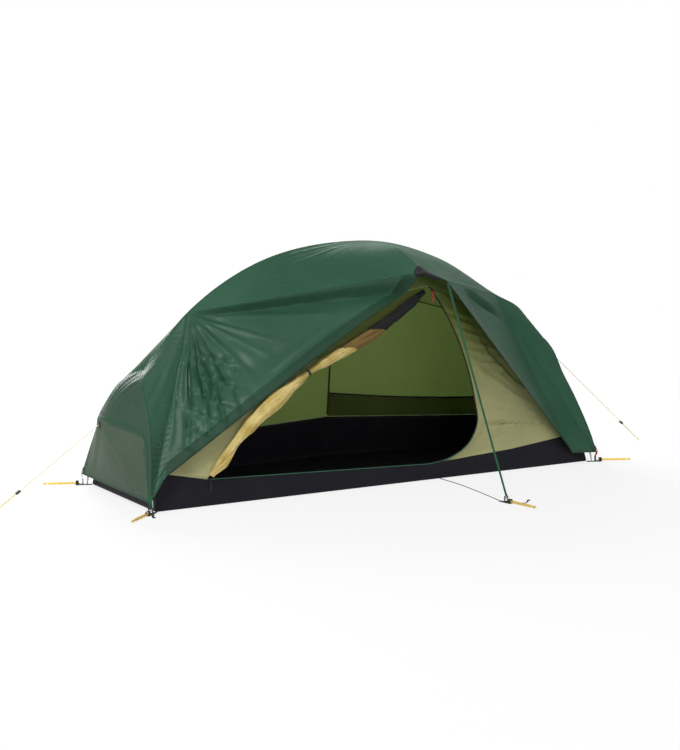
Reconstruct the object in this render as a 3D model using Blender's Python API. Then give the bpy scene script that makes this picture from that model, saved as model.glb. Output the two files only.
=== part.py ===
"""One-person tent, pitched with its door open: a pole set with a hub at each end, a flysheet of
sewn panels over it, an inner tent with a tray floor under it, and the straps, buckles, pegs and
guy lines that hold it down. Metres, +Z up. The origin is the centre of the floor's underside,
+X runs along the tent towards its higher end, and the door is on the -Y side."""

import math

import bmesh
import bpy
from mathutils import Matrix, Vector

# Plan and height
FLOOR_LENGTH = 2.20
FLOOR_WIDTH = 0.66
RIDGE_HEIGHT = 1.04
BACK_KINK_X = 0.12
BACK_KINK_DEPTH = 0.11

# Fabric
FLY_THICKNESS = 0.0016
INNER_THICKNESS = 0.0012
TUB_THICKNESS = 0.0016
SEAM_GAP = 0.0003

# Poles and their hubs. A drop is how far a pole's line or a hub's middle lies under the fly
POLE_RADIUS = 0.00435
TIP_RADIUS = 0.0022
TIP_LENGTH = 0.030
TIP_SEAT = 0.004
TIP_FLARE = 1.02
POLE_CLEARANCE = 0.00615
POLE_DROP = POLE_RADIUS + POLE_CLEARANCE
RIDGE_DROP = POLE_DROP + 0.004
LEG_DROP = 0.018
HUB_DROP = 0.018
HUB_WALL = 0.0032
HUB_CORE, HUB_FLARE = 1.35, 1.12
HUB_BLOCK = 0.017
SOCKET_DEPTH = 0.026
SOCKET_START = 0.0085
# How far a pole runs straight out of a socket, and the bar out of its sleeve
RIDGE_LEAD, LEG_LEAD, BAR_LEAD = 0.012, 0.010, 0.004
CROSSING = 0.0135
CENTRE_DROP = 0.0131
BAR_X = 0.125
BAR_HALF_SPAN = 0.40
BAR_SAG = 0.123
# How far the bar's ends reach past the fly's front edge, or stop short of its back one
BAR_PAST_FRONT, BAR_PAST_BACK = 0.004, -0.012
BAR_END_RISE = 0.002
BAR_BOW = 0.0312
# Where each leg's tip stands: out from the floor's corner and up
LEG_FOOT = Vector((0.018, 0.016, 0.0012))

# Ridge line: how far each hub and seam point lies in from the floor's end, and below the top
HUB_LEFT_IN, HUB_LEFT_DROP = 0.101, 0.514
SEAM_LEFT_IN, SEAM_LEFT_DROP = 0.303, 0.287
SHOULDER_LEFT_IN, SHOULDER_LEFT_DROP = 0.648, 0.104
HUB_RIGHT_IN, HUB_RIGHT_DROP = 0.080, 0.470
SEAM_RIGHT_IN, SEAM_RIGHT_DROP = 0.297, 0.262
SHOULDER_RIGHT_IN, SHOULDER_RIGHT_DROP = 0.615, 0.090

# Flysheet: corners past the floor's, and the door edges
FLY_CORNER_OUT = 0.034
FLY_HEM = 0.046
SEAM_SPLIT = 0.014
LEFT_EDGE_END = Vector((0.037, 0.018, 0.138))
RIGHT_EDGE_END = Vector((0.118, 0.042, 0.057))
DOOR_TOP_GAP = 0.118
DOOR_TOP_FALL = 0.040
BACK_HEM_OUT = 0.19
HOOD_SLACK = 0.0004
GUY_LEFT_OUT, GUY_LEFT_HEIGHT = 0.094, 0.315
GUY_RIGHT_OUT, GUY_RIGHT_HEIGHT = 0.015, 0.505
BACK_BOW = 0.02
# An end wall's middle line: where its upper part bows out, by how much out and up, and how far
# its lower part bellies
END_KNEE = 0.48
END_BOW = {-1: Vector((-0.022, 0, 0.026)), 1: Vector((0.022, 0, 0.004))}
END_BELLY = {-1: Vector((-0.012, 0, 0)), 1: Vector((0.045, 0, 0))}
END_FULLNESS = 0.8
# The hood: how far up the roof its rows lie as shares of the roof's first step, then how its
# front hangs, and the place of its strap as a share of its width
HOOD_ROWS = (0.72, 0.36, 0.0)
HOOD_COLUMNS = (0.68, 1.0, 1.0, 0.98)
HOOD_HANG = (Vector((0, -0.014, -0.003)), Vector((0, -0.009, -0.018)))
HOOD_STRAP = 0.12

# Inner tent
INNER_DROP = 0.050
# Its ends and shoulders as shares of that drop, and where its ends lie from hub to seam
INNER_END_DROP, INNER_SHOULDER_DROP = 0.75, 1.05
INNER_END_SHARE = 0.42
INNER_BACK_IN = 0.97
INNER_BOW = {"front": Vector((0.006, -0.004, 0.004)), "back": Vector((0.006, 0.012, 0.004))}
# The door's sewn edge bows off a straight line: shares of its way and of the bow
HINGE_BOW = Vector((-0.042, 0, 0.055))
HINGE_SHAPE = ((0.28, 0.30), (0.52, 1.0), (0.76, 1.05))
TUB_CORNER = 0.155
TUB_CORNER_IN = 0.026
TUB_CORNER_REACH = 0.2
TUB_BACK_KINK = 0.195
ZIP_LEFT = Vector((0.227, 0.0, 0.110))
ZIP_RIGHT = Vector((0.20, 0.0, 0.072))
DOOR_TOP = Vector((0.197, 0.0, 0.850))
ZIP_RADIUS = 1.152
ZIP_SIDE = Vector((0.266, 0, -0.605))
# Below its round stretch the zip turns a corner: metres right of the door's top, share of its fall
ZIP_CORNER = ((0.228, 0.893), (0.128, 0.973), (0.045, 0.996))
ZIP_WIDTH = 0.007
ZIP_THICKNESS = 0.0016
# The pocket on the back: its foot above the groundsheet's rim, its height, how far it stands off
POCKET_FOOT = 0.004
POCKET_HEIGHT = 0.110
POCKET_SLACK = 0.003

# Cords, webbing and small hardware
CORD_RADIUS = 0.00125
FLOOR_CORD_RADIUS = 0.0015
GUY_LEFT_REACH, GUY_LEFT_HOLD = 1.640, 0.78
GUY_RIGHT_REACH, GUY_RIGHT_HOLD = 1.732, 0.80
STRAND_GAP = 0.0075
CORD_LOOP_RADIUS = 0.0077
LINE_TAIL = 0.012
LINE_SEAT = 0.6
GROUND_GAP = 0.0004
# Where the two strands below a tensioner still run side by side, as shares of the way to the loop
LINE_STRAIGHT = (0.66, 0.80)
TENSIONER = Vector((0.022, 0.0155, 0.0075))
WEBBING = 0.017
WEBBING_THICKNESS = 0.0022
FIT = 0.0003
EYELET_CLEARANCE = 0.0005
PEG_LENGTH = 0.155
PEG_BLADE = 0.0060
PEG_BLADE_THICKNESS = 0.0016
PEG_LOOP_RADIUS = 0.0078
PEG_LOOP_WIDTH = 0.012
PEG_LOOP_WALL = 0.0018
BUCKLE_LOOP_WALL = 0.0014
BUCKLE_LOOP_WIDTH = 0.010
BUCKLE_WIDTH = 0.022
BUCKLE_HEIGHT = 0.022
BUCKLE_BAR = 0.0015
BUCKLE_RAIL = Vector((0.0036, 0.0034))
# The buckle's crossbars: how high each lies as a share of its height, and how thick it is
BUCKLE_BARS = ((0.50, 0.0026), (0.78, 0.0022), (1.0, 0.0032))
BUCKLE_BAR_DEPTH = 0.0030
BUCKLE_LOW = 0.001
BUCKLE_TOP = BUCKLE_HEIGHT + 0.0006
TAB_WIDTH = 0.015
TAB_IN = 0.005
STRAP_WIDTH = 0.0095
STRAP_THICKNESS = 0.0014

VESTIBULE_FOOT = Vector((0.196, -0.872, 0))
VESTIBULE_WAY = Vector((0.11, -1.0, 0))
VESTIBULE_BACK = 0.015
# How far the door's strap stays off its buckle and off the hood
STRAP_FOOT, STRAP_HEAD = 0.0030, 0.0016
# The floor cord's way over the ground, from the groundsheet to the vestibule's webbing
FLOOR_CORD_START_X = 0.262
FLOOR_CORD_WAY = ((0.258, -0.46), (0.231, -0.66))
CORD_GROUND = FLOOR_CORD_RADIUS + 0.0006
PLATE_Z = 0.0006
PLATE_TOP = PLATE_Z + WEBBING_THICKNESS
LOOP_SUNK = 0.0004
BUCKLE_AT = Vector((0.018, 0, PLATE_TOP - LOOP_SUNK + BUCKLE_LOOP_WALL + BUCKLE_BAR + FIT))
PEG_LOOP_AT = Vector((0.042, 0, PLATE_Z + 0.0023 + PEG_LOOP_RADIUS))
PEG_BACK = 0.004
# How far under the loop's middle the peg's shaft lies, so that its lower blades rest on the loop
PEG_SAG = 0.0017
# The peg along its length: how far from its point or from its head, and its blades' share of
# their full width, with a notch below the head for the webbing
PEG_POINT = ((0.0, 0.18), (0.016, 1.0))
PEG_NOTCH = ((0.024, 1.0), (0.022, 0.60), (0.015, 0.60), (0.011, 1.0), (0.002, 1.0), (0.0, 0.85))
# Which way each corner's webbing and peg point, from above
PEG_WAYS = {
    ("front", "left"): Vector((-0.755, -0.656, 0)),
    ("back", "left"): Vector((-0.92, 0.39, 0)),
    ("front", "right"): Vector((0.90, -0.43, 0)),
    ("back", "right"): Vector((0.85, 0.53, 0)),
}
SLIDER_DOWN = 0.026
SLIDER_LENGTH = 0.013
SLIDER_WIDTH = 0.010
SLIDER_DEPTH = 0.0042
SLIDER_EDGE = 0.0008
LUG_OUT, LUG_RADIUS, LUG_WIDTH = 0.0018, 0.0026, 0.0020
# The pull: its bar, half its span, its arms, and its tab with how far down that starts
PULL_BAR, PULL_HALF, PULL_ARM = 0.0009, 0.0030, 0.0095
PULL_LENGTH, PULL_WIDTH, PULL_THICKNESS = 0.036, 0.0068, 0.0022
PULL_START = 0.0085
PULL_EDGE = 0.0006
# The rolled door: how thick the bundle is at shares of the way down its edge
ROLL_STATIONS = (
    (0.03, 0.010),
    (0.10, 0.020),
    (0.30, 0.024),
    (0.46, 0.020),
    (0.53, 0.010),
    (0.58, 0.020),
    (0.68, 0.033),
    (0.78, 0.027),
    (0.86, 0.017),
    (0.93, 0.022),
    (0.985, 0.010),
)
ROLL_RINGS = 30
ROLL_LOBE = 1.09
TIE_SHARE = 0.53
TIE_WIDTH = 0.010
TIE_THICKNESS = 0.0014
ROLL_SIDES = 12
ROLL_FOLDS, ROLL_TWIST = 3, 9
ROLL_FINE = 240

# Each bowed leg's line: the way in from the floor's end, then the share of its width and height
LEG_LEFT = ((0.060, 0.21, 0.935), (0.034, 0.49, 0.752), (0.016, 0.70, 0.540), (-0.022, 0.945, 0.130))
LEG_RIGHT = ((0.038, 0.27, 0.895), (0.029, 0.50, 0.668), (0.022, 0.72, 0.480), (-0.020, 0.945, 0.130))

# Steps of the grids: a ridge's end, a ridge or a seam, the door's top, from a fold up to the ridge
END_STEPS, ROOF_STEPS, TOP_STEPS, ACROSS = 3, 10, 2, 6
WALL_STEPS = 8
INNER_ROOF_STEPS = 3
CURVE_STEPS = 24
# Steps of the tub's eight stretches: four along the front, an end, two along the back, an end.
# The front has as many as the back, so that the floor is one grid.
TUB_STEPS = (3, 8, 5, 4, 5, 10, 10, 5)
# How many steps below its hub each guy line pulls
GUY_ROW = {-1: 4, 1: 2}

HALF = FLOOR_LENGTH / 2
SIDE = FLOOR_WIDTH / 2
WALL_Y = -SIDE + INNER_THICKNESS / 2
ZIP_FACE_Y = -SIDE - FIT
# A point inside the tent, which the panels face away from
MIDDLE = Vector((0, 0, RIDGE_HEIGHT * 0.3))
UP = Vector((0, 0, 1))

# Points of the ridge, the door's edges, the bar and the back's hem
TOP = Vector((0.0, 0.0, RIDGE_HEIGHT))
CROWN = Vector((BAR_X, 0.0, RIDGE_HEIGHT - 0.0015))
HUB_L = Vector((-HALF + HUB_LEFT_IN, 0, RIDGE_HEIGHT - HUB_LEFT_DROP))
SEAM_L = Vector((-HALF + SEAM_LEFT_IN, 0, RIDGE_HEIGHT - SEAM_LEFT_DROP))
SHOULDER_L = Vector((-HALF + SHOULDER_LEFT_IN, 0, RIDGE_HEIGHT - SHOULDER_LEFT_DROP))
HUB_R = Vector((HALF - HUB_RIGHT_IN, 0, RIDGE_HEIGHT - HUB_RIGHT_DROP))
SEAM_R = Vector((HALF - SEAM_RIGHT_IN, 0, RIDGE_HEIGHT - SEAM_RIGHT_DROP))
SHOULDER_R = Vector((HALF - SHOULDER_RIGHT_IN, 0, RIDGE_HEIGHT - SHOULDER_RIGHT_DROP))
BAR_END_Z = CROWN.z - BAR_SAG
EDGE_L = Vector((BAR_X - 0.003, -BAR_HALF_SPAN, BAR_END_Z + 0.002))
EDGE_R = EDGE_L + Vector((DOOR_TOP_GAP, 0, -DOOR_TOP_FALL))
BAR_BACK = Vector((BAR_X, BAR_HALF_SPAN, BAR_END_Z))
HEM_BACK = Vector((BACK_KINK_X, SIDE + BACK_HEM_OUT, FLY_HEM))


def material(name, colour, roughness, metallic=0.0):
    """A Principled material, made once for each name."""
    made = bpy.data.materials.get(name)
    if made is None:
        made = bpy.data.materials.new(name)
        made.use_nodes = True
        shader = made.node_tree.nodes["Principled BSDF"]
        shader.inputs["Base Color"].default_value = (*colour, 1.0)
        shader.inputs["Roughness"].default_value = roughness
        shader.inputs["Metallic"].default_value = metallic
    return made


FLY = ("fly_fabric", (0.035, 0.105, 0.065), 0.45)
FLY_END = ("fly_end_fabric", (0.060, 0.105, 0.070), 0.50)
INNER = ("inner_fabric", (0.42, 0.43, 0.20), 0.70)
MESH = ("inner_mesh", (0.10, 0.13, 0.05), 0.85)
ROLL = ("rolled_door_fabric", (0.62, 0.52, 0.20), 0.65)
TUB = ("groundsheet", (0.018, 0.017, 0.024), 0.50)
BLACK = ("black_webbing", (0.015, 0.015, 0.016), 0.75)
GREEN = ("green_webbing", (0.025, 0.12, 0.06), 0.65)
PLASTIC = ("black_plastic", (0.014, 0.014, 0.015), 0.40)
ALLOY = ("pole_alloy", (0.36, 0.37, 0.38), 0.32, 1.0)
PEG = ("gold_alloy", (0.75, 0.50, 0.10), 0.35, 1.0)
CORD = ("guy_cord", (0.80, 0.74, 0.42), 0.70)
RED = ("red_cord", (0.55, 0.02, 0.02), 0.60)


def clear_scene():
    for old in list(bpy.data.objects):
        bpy.data.objects.remove(old, do_unlink=True)


def add_object(name, data, finish, smooth=True):
    """Links a mesh or a curve as one named object of one material."""
    made = bpy.data.objects.new(name, data)
    bpy.context.scene.collection.objects.link(made)
    data.materials.append(material(*finish))
    if smooth and isinstance(data, bpy.types.Mesh):
        data.shade_smooth()
        data.set_sharp_from_angle(angle=math.radians(35))
    return made


def mesh_from(name, shape):
    """Turns a bmesh into a mesh with its faces pointing out."""
    bmesh.ops.recalc_face_normals(shape, faces=shape.faces)
    mesh = bpy.data.meshes.new(name)
    shape.to_mesh(mesh)
    shape.free()
    return mesh


def line(start, end, steps):
    return [start.lerp(end, i / steps) for i in range(steps + 1)]


def smooth_curve(points, steps):
    """Evenly spaced points along a Catmull-Rom curve through the given ones."""
    ends = [2 * points[0] - points[1], *points, 2 * points[-1] - points[-2]]
    fine = []
    for a, b, c, d in zip(ends, ends[1:], ends[2:], ends[3:]):
        for i in range(CURVE_STEPS):
            t = i / CURVE_STEPS
            bend = (2 * a - 5 * b + 4 * c - d) * t * t + (3 * b - a - 3 * c + d) * t**3
            fine.append(b + 0.5 * ((c - a) * t + bend))
    fine.append(points[-1].copy())
    return even(fine, steps)


def even(path, steps):
    """The path again, as that many steps of equal length."""
    along = [0.0]
    for a, b in zip(path, path[1:]):
        along.append(along[-1] + (b - a).length)
    made, k = [], 0
    for i in range(steps + 1):
        want = along[-1] * i / steps
        while k < len(path) - 2 and along[k + 1] < want:
            k += 1
        share = (want - along[k]) / max(along[k + 1] - along[k], 1e-9)
        made.append(path[k].lerp(path[k + 1], min(max(share, 0.0), 1.0)))
    return made


def coons(bottom, top, left, right):
    """The grid of points that four boundary curves span. left runs from the start of bottom to
    the start of top, and right from end to end."""
    rows, cols = len(left) - 1, len(bottom) - 1
    grid = []
    for i in range(cols + 1):
        u = i / cols
        column = []
        for j in range(rows + 1):
            v = j / rows
            along = bottom[i].lerp(top[i], v)
            across = left[j].lerp(right[j], u)
            corners = bottom[0].lerp(bottom[-1], u).lerp(top[0].lerp(top[-1], u), v)
            column.append(along + across - corners)
        grid.append(column)
    return grid


def end_wall(front, back, middle):
    """The grid of an end wall: from leg to leg, bellied out to its middle line. Low down, its
    first rows are set so that one strip beside each corner is as wide as the corner's tab."""
    rows = 2 * ACROSS
    width = (back[-1] - front[-1]).length
    near = [0.0, TAB_IN / width, (TAB_IN + TAB_WIDTH) / width]
    inner = rows - 4
    low = near + [near[2] + (1 - 2 * near[2]) * k / inner for k in range(1, inner)]
    low += [1 - share for share in reversed(near)]
    grid = []
    for i, (a, b, m) in enumerate(zip(front, back, middle)):
        u = i / (len(front) - 1)
        shift = m - a.lerp(b, 0.5)
        column = []
        for j in range(rows + 1):
            share = (1 - u) * j / rows + u * low[j]
            column.append(a.lerp(b, share) + shift * abs(math.sin(math.pi * share)) ** END_FULLNESS)
        grid.append(column)
    return grid


def key(point):
    return tuple(round(c * 20000) for c in point)


def grid_faces(grid):
    for i in range(len(grid) - 1):
        for j in range(len(grid[0]) - 1):
            yield (i, j), (i + 1, j), (i + 1, j + 1), (i, j + 1)


def quad_normal(grid, quad):
    a, b, c, d = (grid[i][j] for i, j in quad)
    return (c - a).cross(d - b)


def halves(grid, quad):
    """A quad's two triangles, cut along its shorter diagonal."""
    a, b, c, d = (grid[i][j] for i, j in quad)
    p, q, r, s = quad
    if (c - a).length <= (d - b).length:
        return (p, q, r), (p, r, s)
    return (p, q, s), (q, r, s)


def face_out(grid, centre):
    """Turns a grid over if its faces point at the centre."""
    total = 0.0
    for quad in grid_faces(grid):
        middle = sum((grid[i][j] for i, j in quad), Vector()) / 4
        total += quad_normal(grid, quad).dot(middle - centre)
    return grid if total > 0 else [column[::-1] for column in grid]


def shared_normals(grids):
    """The normal at each point of a family of sewn panels, the same for all that meet there:
    the normals of the triangles round it, by the angle that each has at the point."""
    sums = {}
    for grid in grids:
        for quad in grid_faces(grid):
            for corner in halves(grid, quad):
                points = [grid[i][j] for i, j in corner]
                if len({key(p) for p in points}) < 3:
                    continue
                normal = (points[1] - points[0]).cross(points[2] - points[0]).normalized()
                for k, point in enumerate(points):
                    ahead, behind = points[(k + 1) % 3] - point, points[k - 1] - point
                    place = key(point)
                    turn = ahead.angle(behind)
                    sums[place] = sums.get(place, Vector()) + normal * turn
    return {place: normal.normalized() for place, normal in sums.items()}


def edge_insets(grid, width):
    """How far each point of a panel's rim moves in, so that sewn neighbours keep a gap."""
    cols, rows = len(grid) - 1, len(grid[0]) - 1
    moves = {}
    for i in range(cols + 1):
        for j in range(rows + 1):
            inward = Vector()
            if i in (0, cols):
                step = grid[1 if i == 0 else cols - 1][j] - grid[i][j]
                inward += step.normalized()
            if j in (0, rows):
                step = grid[i][1 if j == 0 else rows - 1] - grid[i][j]
                inward += step.normalized()
            place = key(grid[i][j])
            moves.setdefault(place, []).append(inward)
    made = {}
    for place, group in moves.items():
        total = sum(group, Vector())
        made[place] = total.normalized() * width if total.length > 1e-6 else Vector()
    return made


def panel_mesh(name, grid, normals, thickness, tabs=()):
    """A closed sheet of one thickness about a grid of points. Each tab is a frame at its lower
    end: the strip of rim nearest to it is drawn down to that frame."""
    shape = bmesh.new()
    insets = edge_insets(grid, SEAM_GAP / 2)
    sides = []
    for side in (0.5, -0.5):
        layer = []
        for column in grid:
            made = []
            for point in column:
                place = key(point)
                offset = normals[place] * (thickness * side)
                made.append(shape.verts.new(point + offset + insets[place]))
            layer.append(made)
        sides.append(layer)
    front, back = sides
    for quad in grid_faces(grid):
        for corner in halves(grid, quad):
            if len({key(grid[i][j]) for i, j in corner}) < 3:
                continue
            shape.faces.new([front[i][j] for i, j in corner])
            shape.faces.new([back[i][j] for i, j in reversed(corner)])
    cols, rows = len(grid) - 1, len(grid[0]) - 1
    rim = [(i, 0) for i in range(cols)] + [(cols, j) for j in range(rows)]
    rim += [(i, rows) for i in range(cols, 0, -1)] + [(0, j) for j in range(rows, 0, -1)]
    edges = list(zip(rim, rim[1:] + rim[:1]))
    drawn = {}
    for tab in tabs:
        spot = tab.to_translation()
        nearest = min(
            (e for e in edges if (grid[e[0][0]][e[0][1]] - grid[e[1][0]][e[1][1]]).length > 0.01),
            key=lambda e: (grid[e[0][0]][e[0][1]].lerp(grid[e[1][0]][e[1][1]], 0.5) - spot).length,
        )
        drawn[nearest] = tab
    for (i, j), (m, n) in edges:
        here, after = key(grid[i][j]), key(grid[m][n])
        if here == after:
            continue
        if ((i, j), (m, n)) in drawn:
            strip = [front[i][j], back[i][j], back[m][n], front[m][n]]
            add_tab(shape, strip, drawn[(i, j), (m, n)])
            continue
        # The neighbour across the seam cuts this strip along the same diagonal
        if here < after:
            shape.faces.new((front[i][j], back[i][j], back[m][n]))
            shape.faces.new((front[i][j], back[m][n], front[m][n]))
        else:
            shape.faces.new((front[i][j], back[i][j], front[m][n]))
            shape.faces.new((back[i][j], back[m][n], front[m][n]))
    bmesh.ops.remove_doubles(shape, verts=shape.verts, dist=1e-6)
    bmesh.ops.dissolve_degenerate(shape, edges=shape.edges, dist=1e-7)
    return mesh_from(name, shape)


def add_tab(shape, strip, frame):
    """Draws one strip of a panel's rim down to a frame, as a tape of the same thickness."""
    middle = sum((v.co for v in strip), Vector()) / 4
    spot, across = frame.to_translation(), frame.to_3x3() @ Vector((0, 1, 0))
    out = frame.to_3x3() @ Vector((1, 0, 0))
    low = []
    for k, vertex in enumerate(strip):
        side = math.copysign(TAB_WIDTH / 2, (vertex.co - middle).dot(across))
        depth = FLY_THICKNESS / 2 if k in (0, 3) else -FLY_THICKNESS / 2
        low.append(shape.verts.new(spot + across * side + out * depth))
    a, b, c, d = strip
    e, f, g, h = low
    for corner in (
        (a, b, f),
        (a, f, e),
        (b, c, g),
        (b, g, f),
        (c, d, h),
        (c, h, g),
        (a, e, h),
        (a, h, d),
        (e, f, g),
        (e, g, h),
    ):
        shape.faces.new(corner)


def tube(name, path, radius, finish, resolution=2):
    """A round tube along a path, as a curve with a bevel and filled caps."""
    curve = bpy.data.curves.new(name, "CURVE")
    curve.dimensions = "3D"
    curve.bevel_depth = radius
    curve.bevel_resolution = resolution
    curve.use_fill_caps = True
    spline = curve.splines.new("POLY")
    spline.points.add(len(path) - 1)
    for point, place in zip(spline.points, path):
        point.co = (*place, 1.0)
    return add_object(name, curve, finish, smooth=False)


def axes_along(direction, up=Vector((0, 0, 1))):
    """A rotation whose Z runs along a direction and whose Y leans to up."""
    z = direction.normalized()
    x = up.cross(z)
    if x.length < 1e-6:
        x = Vector((1, 0, 0))
    x.normalize()
    y = z.cross(x)
    return Matrix((x, y, z)).transposed().to_4x4()


def add_cone(shape, start, end, radius, end_radius=None, sides=16):
    """A round bar between two points, added to a bmesh."""
    turn = axes_along(end - start)
    place = Matrix.Translation((start + end) / 2) @ turn
    bmesh.ops.create_cone(
        shape,
        cap_ends=True,
        segments=sides,
        radius1=radius,
        radius2=radius if end_radius is None else end_radius,
        depth=(end - start).length,
        matrix=place,
    )


def cone_object(start, end, radius, end_radius=None, sides=16):
    shape = bmesh.new()
    add_cone(shape, start, end, radius, end_radius, sides)
    return loose(shape)


def box_object(place, size, bevel=0.0):
    """A box with its own axes, its edges bevelled if asked."""
    shape = bmesh.new()
    scale = Matrix.Diagonal((*size, 1.0))
    bmesh.ops.create_cube(shape, size=1.0, matrix=scale)
    if bevel:
        bmesh.ops.bevel(
            shape, geom=shape.edges, offset=bevel, segments=1, affect="EDGES", profile=0.5
        )
    bmesh.ops.transform(shape, matrix=place, verts=shape.verts)
    return loose(shape)


def ball_object(centre, radius):
    shape = bmesh.new()
    bmesh.ops.create_uvsphere(
        shape, u_segments=12, v_segments=8, radius=radius, matrix=Matrix.Translation(centre)
    )
    return loose(shape)


def ring_object(centre, axis, inner, outer, width, sides=16):
    """A turned ring about an axis."""
    shape = bmesh.new()
    turn = Matrix.Translation(centre) @ axes_along(axis)
    profile = ((inner, -width / 2), (outer, -width / 2), (outer, width / 2), (inner, width / 2))
    rings = []
    for k in range(sides):
        angle = 2 * math.pi * k / sides
        spot = [turn @ Vector((r * math.cos(angle), r * math.sin(angle), h)) for r, h in profile]
        rings.append([shape.verts.new(p) for p in spot])
    for k in range(sides):
        here, after = rings[k], rings[(k + 1) % sides]
        for m in range(4):
            n = (m + 1) % 4
            shape.faces.new((here[m], after[m], after[n], here[n]))
    return loose(shape)


def loose(shape):
    """A bmesh as an unlinked helper object, faces out."""
    return bpy.data.objects.new("helper", mesh_from("helper", shape))


def combine(name, finish, solids, cuts=(), smooth=True):
    """Unites solids, cuts others from them, and keeps the result as one named mesh."""
    base = solids[0]
    bpy.context.scene.collection.objects.link(base)
    for other, operation in [(o, "UNION") for o in solids[1:]] + [(o, "DIFFERENCE") for o in cuts]:
        bpy.context.scene.collection.objects.link(other)
        change = base.modifiers.new("change", "BOOLEAN")
        change.operation = operation
        change.solver = "EXACT"
        change.object = other
    bpy.context.view_layer.update()
    evaluated = base.evaluated_get(bpy.context.evaluated_depsgraph_get())
    mesh = bpy.data.meshes.new_from_object(evaluated)
    mesh.name = name
    mesh.materials.clear()
    for used in [base, *solids[1:], *cuts]:
        bpy.data.objects.remove(used, do_unlink=True)
    return add_object(name, mesh, finish, smooth)


# Flysheet

def fly_corner(x_side, y_side):
    return Vector(
        (x_side * (HALF + FLY_CORNER_OUT), y_side * (SIDE + FLY_CORNER_OUT), FLY_HEM)
    )


def edge_foot(side):
    """Where a door panel's free edge ends, just above the ground."""
    end = LEFT_EDGE_END if side < 0 else RIGHT_EDGE_END
    return Vector((side * (HALF - end.x), -SIDE - end.y, end.z))


def seam_foot(side):
    """Where a door panel's seam ends, a webbing's width from the corner."""
    corner, foot = fly_corner(side, -1), edge_foot(side)
    return corner + (foot - corner).normalized() * SEAM_SPLIT


def leg_line(hub, x_side, y_side, shape):
    """A leg's line under the fly, from the hub to the corner. shape gives points as the way in
    from the floor's end, the way across and the height, each as a share of the leg's."""
    corner = fly_corner(x_side, y_side)
    span = hub.z - corner.z
    points = [hub]
    for inward, across, height in shape:
        spot = (x_side * (HALF - inward), corner.y * across, corner.z + span * height)
        points.append(Vector(spot))
    points.append(corner)
    return smooth_curve(points, ROOF_STEPS)


def fly_curves():
    """Every seam and edge that the fly's panels share, each sampled once."""
    c = {}
    ridge = smooth_curve(
        [HUB_L, SEAM_L, SHOULDER_L, TOP, CROWN, SHOULDER_R, SEAM_R, HUB_R], 240
    )
    at = [min(range(241), key=lambda k: (ridge[k] - p).length) for p in (SEAM_L, CROWN, SEAM_R)]
    ridge[at[0]], ridge[at[1]], ridge[at[2]] = SEAM_L.copy(), CROWN.copy(), SEAM_R.copy()
    c["ridge_end_left"] = even(ridge[: at[0] + 1], END_STEPS)
    c["ridge_left"] = even(ridge[at[0] : at[1] + 1], ROOF_STEPS)
    c["ridge_right"] = even(ridge[at[1] : at[2] + 1], ROOF_STEPS + TOP_STEPS)
    c["ridge_end_right"] = even(ridge[at[2] :], END_STEPS)
    for side, hub, shape in ((-1, HUB_L, LEG_LEFT), (1, HUB_R, LEG_RIGHT)):
        for back, word in ((-1, "front"), (1, "back")):
            c["leg", side, word] = leg_line(hub, side, back, shape)
    front_middle = EDGE_L.lerp(CROWN, 0.5) + UP * BAR_BOW
    back_middle = BAR_BACK.lerp(CROWN, 0.5) + UP * BAR_BOW
    c["bar_front"] = smooth_curve([EDGE_L, front_middle, CROWN], ACROSS)
    c["bar_back"] = smooth_curve([BAR_BACK, back_middle, CROWN], ACROSS)
    c["fold_left"] = line(SEAM_L, EDGE_L, ROOF_STEPS)
    c["fold_right"] = line(EDGE_R, SEAM_R, ROOF_STEPS)
    c["door_top"] = line(EDGE_L, EDGE_R, TOP_STEPS)
    c["fold_back_left"] = line(SEAM_L, BAR_BACK, ROOF_STEPS)
    c["fold_back_right"] = line(BAR_BACK, SEAM_R, ROOF_STEPS + TOP_STEPS)
    for word, side, seam, top in (("left", -1, SEAM_L, EDGE_L), ("right", 1, SEAM_R, EDGE_R)):
        low = seam_foot(side)
        c["seam_" + word] = line(seam, low, ROOF_STEPS)
        c["edge_" + word] = [low, *line(edge_foot(side), top, 2 * ACROSS - 1)]
    return c


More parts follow.
